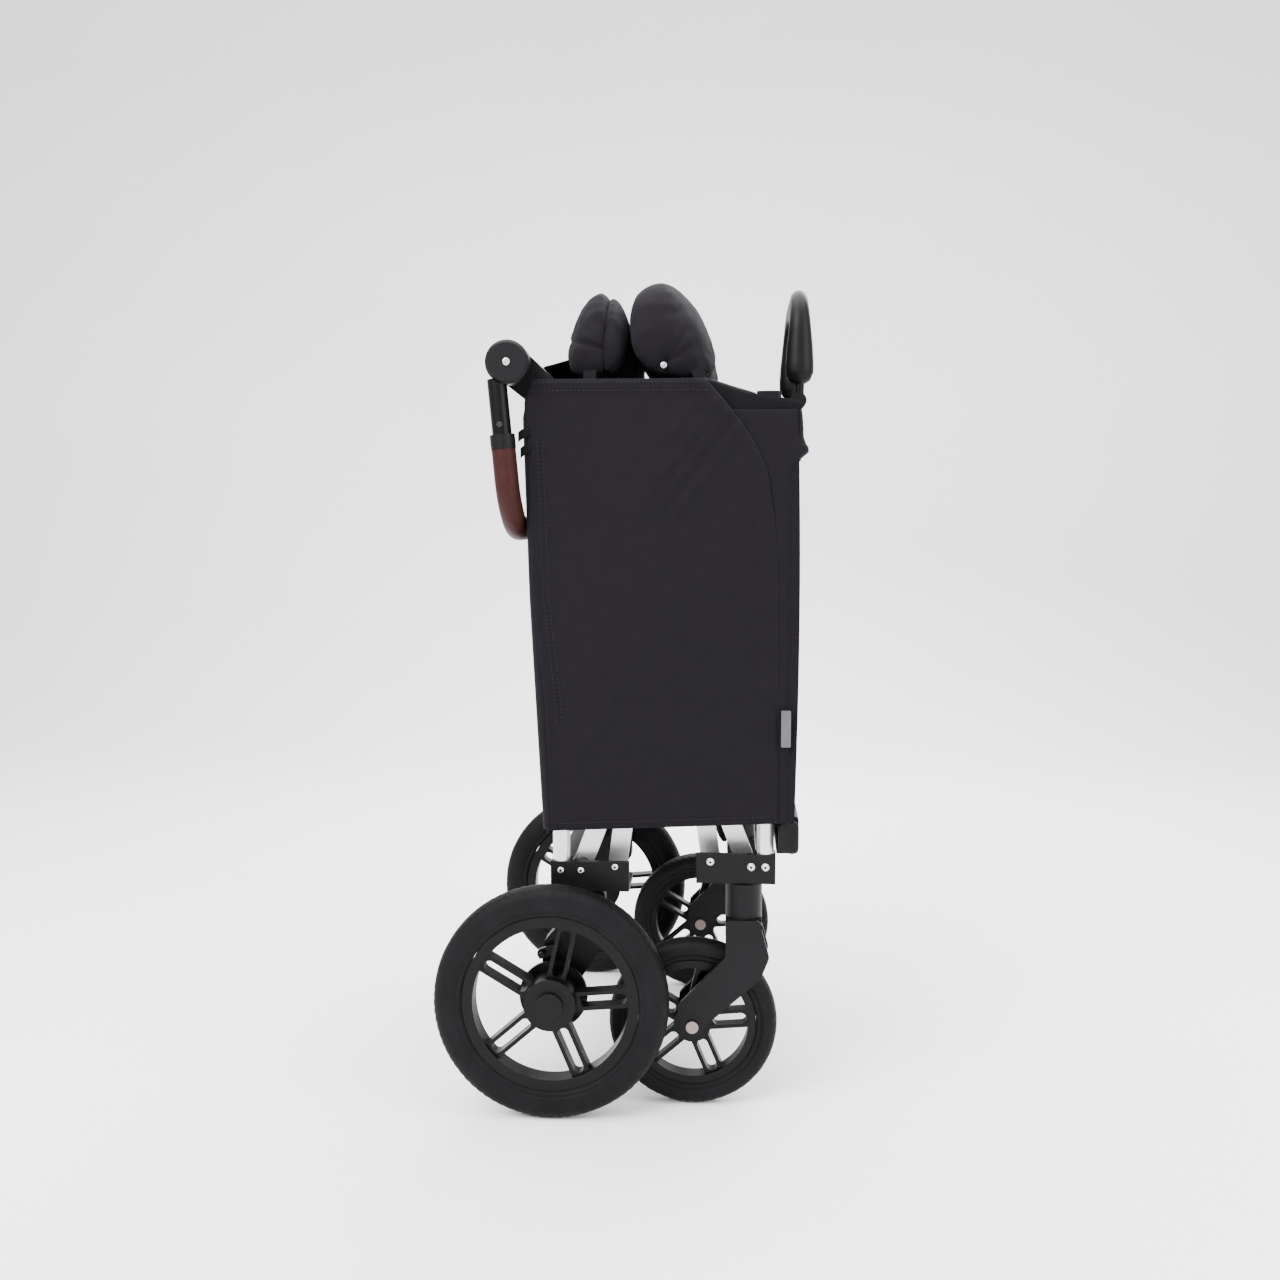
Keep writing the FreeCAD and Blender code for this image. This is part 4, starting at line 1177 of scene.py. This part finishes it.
def floor_mats():
    """The pads of the two standing floor panels."""
    mat_pad("rear_floor_pad", ux(0.078), 1, "rear_floor_mat", "rear_floor")
    mat_pad("front_floor_pad", ux(0.200), -1, "front_floor_mat", "front_floor")


# Small pieces


def bumper_caps():
    """Rounded cap with curved ribs on each end of the front bumper."""
    for side, sign in SIDES:
        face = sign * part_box("front_bumper")[1].y
        outline = []
        for x, z, radius, first in (
            (0.303, 0.369, 0.009, 0), (0.295, 0.369, 0.009, 90),
            (0.2925, 0.344, 0.0065, 180), (0.303, 0.344, 0.009, 270),
        ):
            for step in range(7):
                turn = math.radians(first + 15 * step)
                outline.append((ux(x + radius * math.cos(turn)), z + radius * math.sin(turn)))
        ends = sorted((face + sign * 0.0005, face + sign * 0.0105))
        cap = plate("bumper_cap_" + side, outline, ends, bevel=0.0035, material=PLASTIC, segments=4)
        place(cap, "black_plastic", "front_frame")
        for index in range(3):
            line = []
            for step in range(9):
                turn = math.radians(-50 + 100 * step / 8)
                reach = 0.0085 + 0.0042 * index
                x = ux(0.2925) + reach * math.cos(turn)
                line.append((x, face + sign * 0.0104, 0.3565 + reach * 1.15 * math.sin(turn)))
            rib = tube(f"bumper_rib_{index}_{side}", line, 0.0009, PLASTIC, sides=8)
            place(rib, "black_plastic", "front_frame")
        ends = sorted((face + sign * 0.0090, face + sign * 0.0112))
        circle = ring_outline(ux(0.2965), 0.3715, 0.0032)
        plug = plate("bumper_plug_" + side, circle, ends, bevel=0.0006, material=WHEEL_PLASTIC)
        place(plug, "black_plastic", "front_frame")


def handle_ties():
    """Short fabric tabs that hold the folded cover close to the push handle's posts."""
    for side, sign in SIDES:
        for height, reach in ((0.866, 0.015), (0.846, 0.013)):
            start = ux(look_up(LEFT_EDGE, height))
            rows = []
            for share in spread(0, 1, 12):
                x = start + 0.006 - reach * share
                y = sign * (OUTER_LAYER_Y + 0.0012 + 0.0025 * math.sin(math.pi * share))
                z = height - 0.006 * share**2
                rows.append([(x, y, z + offset) for offset in (-0.006, -0.002, 0.002, 0.006)])
            name = f"cover_tab_{int(height * 1000)}_{side}"
            tab = thick_sheet(name, rows, FABRIC_TRIM, thickness=0.0014)
            place(tab, "fabric", "rear_frame")


def grip_seam():
    """Sewn double seam along the inside of the leather grip, laid on the leather."""
    low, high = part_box("leather_grip")
    half = (high.y - low.y) / 2 - 0.0363
    top_u, foot_u = -0.0575, -0.048
    foot_z = low.z + 0.0368
    corner = 0.047
    inner = half - 0.0005
    controls = [(top_u, inner, 0.838), (top_u + 0.003, inner, 0.800)]
    for share in spread(0, 1, 8):
        turn = math.pi / 2 * share
        y = inner - corner + corner * math.cos(turn)
        z = foot_z + corner - corner * math.sin(turn)
        controls.append((foot_u - 0.0025 * (1 - share), y, z))
    right = [(u, -y, z) for u, y, z in reversed(controls)]
    line = [(ux(u), y, z) for u, y, z in controls + right]
    hide = NODES["leather_grip"]
    skin = BVHTree.FromPolygons(
        [hide.matrix_world @ vertex.co for vertex in hide.data.vertices],
        [tuple(polygon.vertices) for polygon in hide.data.polygons],
    )
    for index, shift in enumerate((-0.0022, 0.0022)):
        path = []
        for x, y, z in line:
            spot, outward, _, _ = skin.find_nearest(Vector((x + shift, y, z)))
            path.append(spot + outward * 0.0002)
        seam = tube(f"grip_seam_{index}", resample(path, pitch=0.0055), 0.0006, BROWN_THREAD, sides=6)
        place(seam, "leather", "push_handle")


def front_grip():
    """Moulded grip of the front handle: thin over the top and swelling towards its two rounded feet."""
    low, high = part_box("front_handle_grip")
    x = (low.x + high.x) / 2
    width = high.y - 0.0150
    top = high.z - 0.0110
    corner = 0.045
    path = [(width, low.z + (top - corner - low.z) * (step / 30) ** 1.3) for step in range(30)]
    for step in range(17):
        turn = math.pi / 2 * step / 16
        path.append((width - corner + corner * math.cos(turn), top - corner + corner * math.sin(turn)))
    path += [((width - corner) * (1 - step / 10), top) for step in range(1, 11)]
    path += [(-y, z) for y, z in reversed(path[:-1])]
    depth_at = [
        (0.9343, 0.004), (0.9360, 0.0085), (0.9400, 0.0140), (0.9500, 0.0182), (0.9600, 0.0185),
        (0.9850, 0.0170), (1.0200, 0.0135), (1.0490, 0.0112), (1.0700, 0.0110),
    ]
    width_at = [
        (0.9343, 0.004), (0.9360, 0.0075), (0.9400, 0.0115), (0.9500, 0.0145), (0.9600, 0.0148),
        (0.9850, 0.0136), (1.0200, 0.0116), (1.0490, 0.0110), (1.0700, 0.0110),
    ]
    sides = 24
    points = []
    last = len(path) - 1
    for index, (y, z) in enumerate(path):
        before = path[max(index - 1, 0)]
        after = path[min(index + 1, last)]
        ahead = Vector((0, after[0] - before[0], after[1] - before[1])).normalized()
        other = ahead.cross(Vector((1, 0, 0)))
        deep, wide = look_up(depth_at, z), look_up(width_at, z)
        for step in range(sides):
            turn = math.tau * step / sides
            points.append(Vector((x + deep * math.cos(turn), y, z)) + other * wide * math.sin(turn))
    faces = ring_faces(sides, len(path)) + end_faces(sides, len(path))
    obj = add_solid("front_grip_pad", points, faces, GRIP)
    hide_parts("front_handle_grip")
    place(obj, "grip_rubber", "front_handle")


def hub_screws():
    """Bright domed screw head in the middle of each handle hub."""
    low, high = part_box("hub_covers")
    centre = (low + high) / 2
    outline = ring_outline(centre.x, centre.z, 0.0046)
    for side, sign in SIDES:
        ends = sorted((sign * (high.y - 0.0004), sign * (high.y + 0.0018)))
        screw = plate("hub_screw_" + side, outline, ends, bevel=0.0011, material=ZINC)
        place(screw, "zinc_bolt", "push_handle")


def bolt_socket_shades():
    """Near-black flat hexagons on the bracket bolt heads: painted shade standing in for their hexagon sockets."""
    for node, body in (("rear_bracket_bolts", "rear_frame"), ("front_bracket_bolts", "front_frame")):
        for index, points in enumerate(loose_parts(NODES[node].data)):
            low = points.min(axis=0)
            high = points.max(axis=0)
            centre = (low + high) / 2
            sign = 1 if centre[1] > 0 else -1
            face = high[1] if sign > 0 else low[1]
            outline = ring_outline(centre[0], centre[2], radius=0.0019, count=6)
            ends = sorted((face - sign * 0.0004, face + sign * 0.0003))
            name = f"{node}_socket_{index}"
            # Painted shade: a thin black hexagon on the bolt face stands for the dark hollow of the socket.
            socket_shade = plate(name, outline, ends, bevel=0.0001, material=WHEEL_PLASTIC, segments=1)
            place(socket_shade, "black_plastic", body)


def loose_parts(mesh):
    """Point clouds of the separate lumps in a mesh."""
    shape = bmesh.new()
    shape.from_mesh(mesh)
    bmesh.ops.remove_doubles(shape, verts=shape.verts, dist=1e-5)
    seen = set()
    parts = []
    for start in shape.verts:
        if start in seen:
            continue
        stack = [start]
        seen.add(start)
        points = []
        while stack:
            vertex = stack.pop()
            points.append(tuple(vertex.co))
            for edge in vertex.link_edges:
                other = edge.other_vert(vertex)
                if other not in seen:
                    seen.add(other)
                    stack.append(other)
        parts.append(np.array(points))
    shape.free()
    return parts


# Stage


def stage():
    """Pale paper floor that curves up behind the object."""
    backdrop = Surface("studio_paper", (0.95, 0.95, 0.955), 0.9)
    backdrop.vary_color(backdrop.noise(3.0), 0.99, 1.01)
    backdrop.bump(backdrop.noise(300.0), 0.03, 0.0005)
    reach, bend_y, bend_r, below = 9.0, 2.2, 1.2, 0.0004
    profile = [(-reach, 0.0)]
    for turn in spread(0, math.pi / 2, 12):
        profile.append((bend_y + bend_r * math.sin(turn), bend_r - bend_r * math.cos(turn)))
    profile.append((bend_y + bend_r, 4.5))
    points = [(x, y, z - below) for y, z in profile for x in (-reach, reach)]
    faces = [(2 * index, 2 * index + 1, 2 * index + 3, 2 * index + 2) for index in range(len(profile) - 1)]
    floor = add_mesh("studio_floor", points, faces, backdrop.material)


def area_light(name, spot, target, size, power):
    """Rectangular soft box that faces its target."""
    light = bpy.data.lights.new(name, "AREA")
    light.shape = "RECTANGLE"
    light.size, light.size_y = size
    light.energy = power
    obj = add_object(name, light)
    obj.location = spot
    obj.rotation_euler = (Vector(target) - Vector(spot)).to_track_quat("-Z", "Y").to_euler()


def lights():
    """Four soft boxes and a pale sky."""
    area_light("key", (-1.3, -2.0, 2.3), (0, 0, 0.5), (1.6, 1.6), 150)
    area_light("fill", (2.0, -1.5, 1.6), (0, 0, 0.5), (1.4, 1.8), 60)
    area_light("top", (0.0, 0.2, 2.8), (0, 0, 0.4), (3.0, 2.6), 170)
    area_light("back", (0.6, 2.2, 2.2), (0, 0, 0.6), (2.4, 1.2), 120)
    world = bpy.data.worlds.new("studio")
    bpy.context.scene.world = world
    world.use_nodes = True
    sky = world.node_tree.nodes["Background"]
    sky.inputs["Color"].default_value = (0.95, 0.96, 1.0, 1.0)
    sky.inputs["Strength"].default_value = 1.25


def camera():
    """Almost level view of the right side."""
    data = bpy.data.cameras.new("camera")
    data.lens = 38.39
    data.sensor_width = 36.0
    obj = add_object("camera", data)
    obj.location = (AXLE_X + 0.2267, -1.9516, 0.7615)
    obj.rotation_euler = (math.radians(84.834), 0.0, math.radians(3.896))
    bpy.context.scene.camera = obj


dress_cad()
tyres()
hub_details()
for side_name, side_sign in SIDES:
    side_fabric(side_name, side_sign)
front_fabric()
rear_fabric()
rail_sleeves()
rim_bands()
hoods()
hood_snaps()
hood_skirt()
floor_mats()
bumper_caps()
handle_ties()
grip_seam()
front_grip()
hub_screws()
bolt_socket_shades()
stage()
lights()
camera()
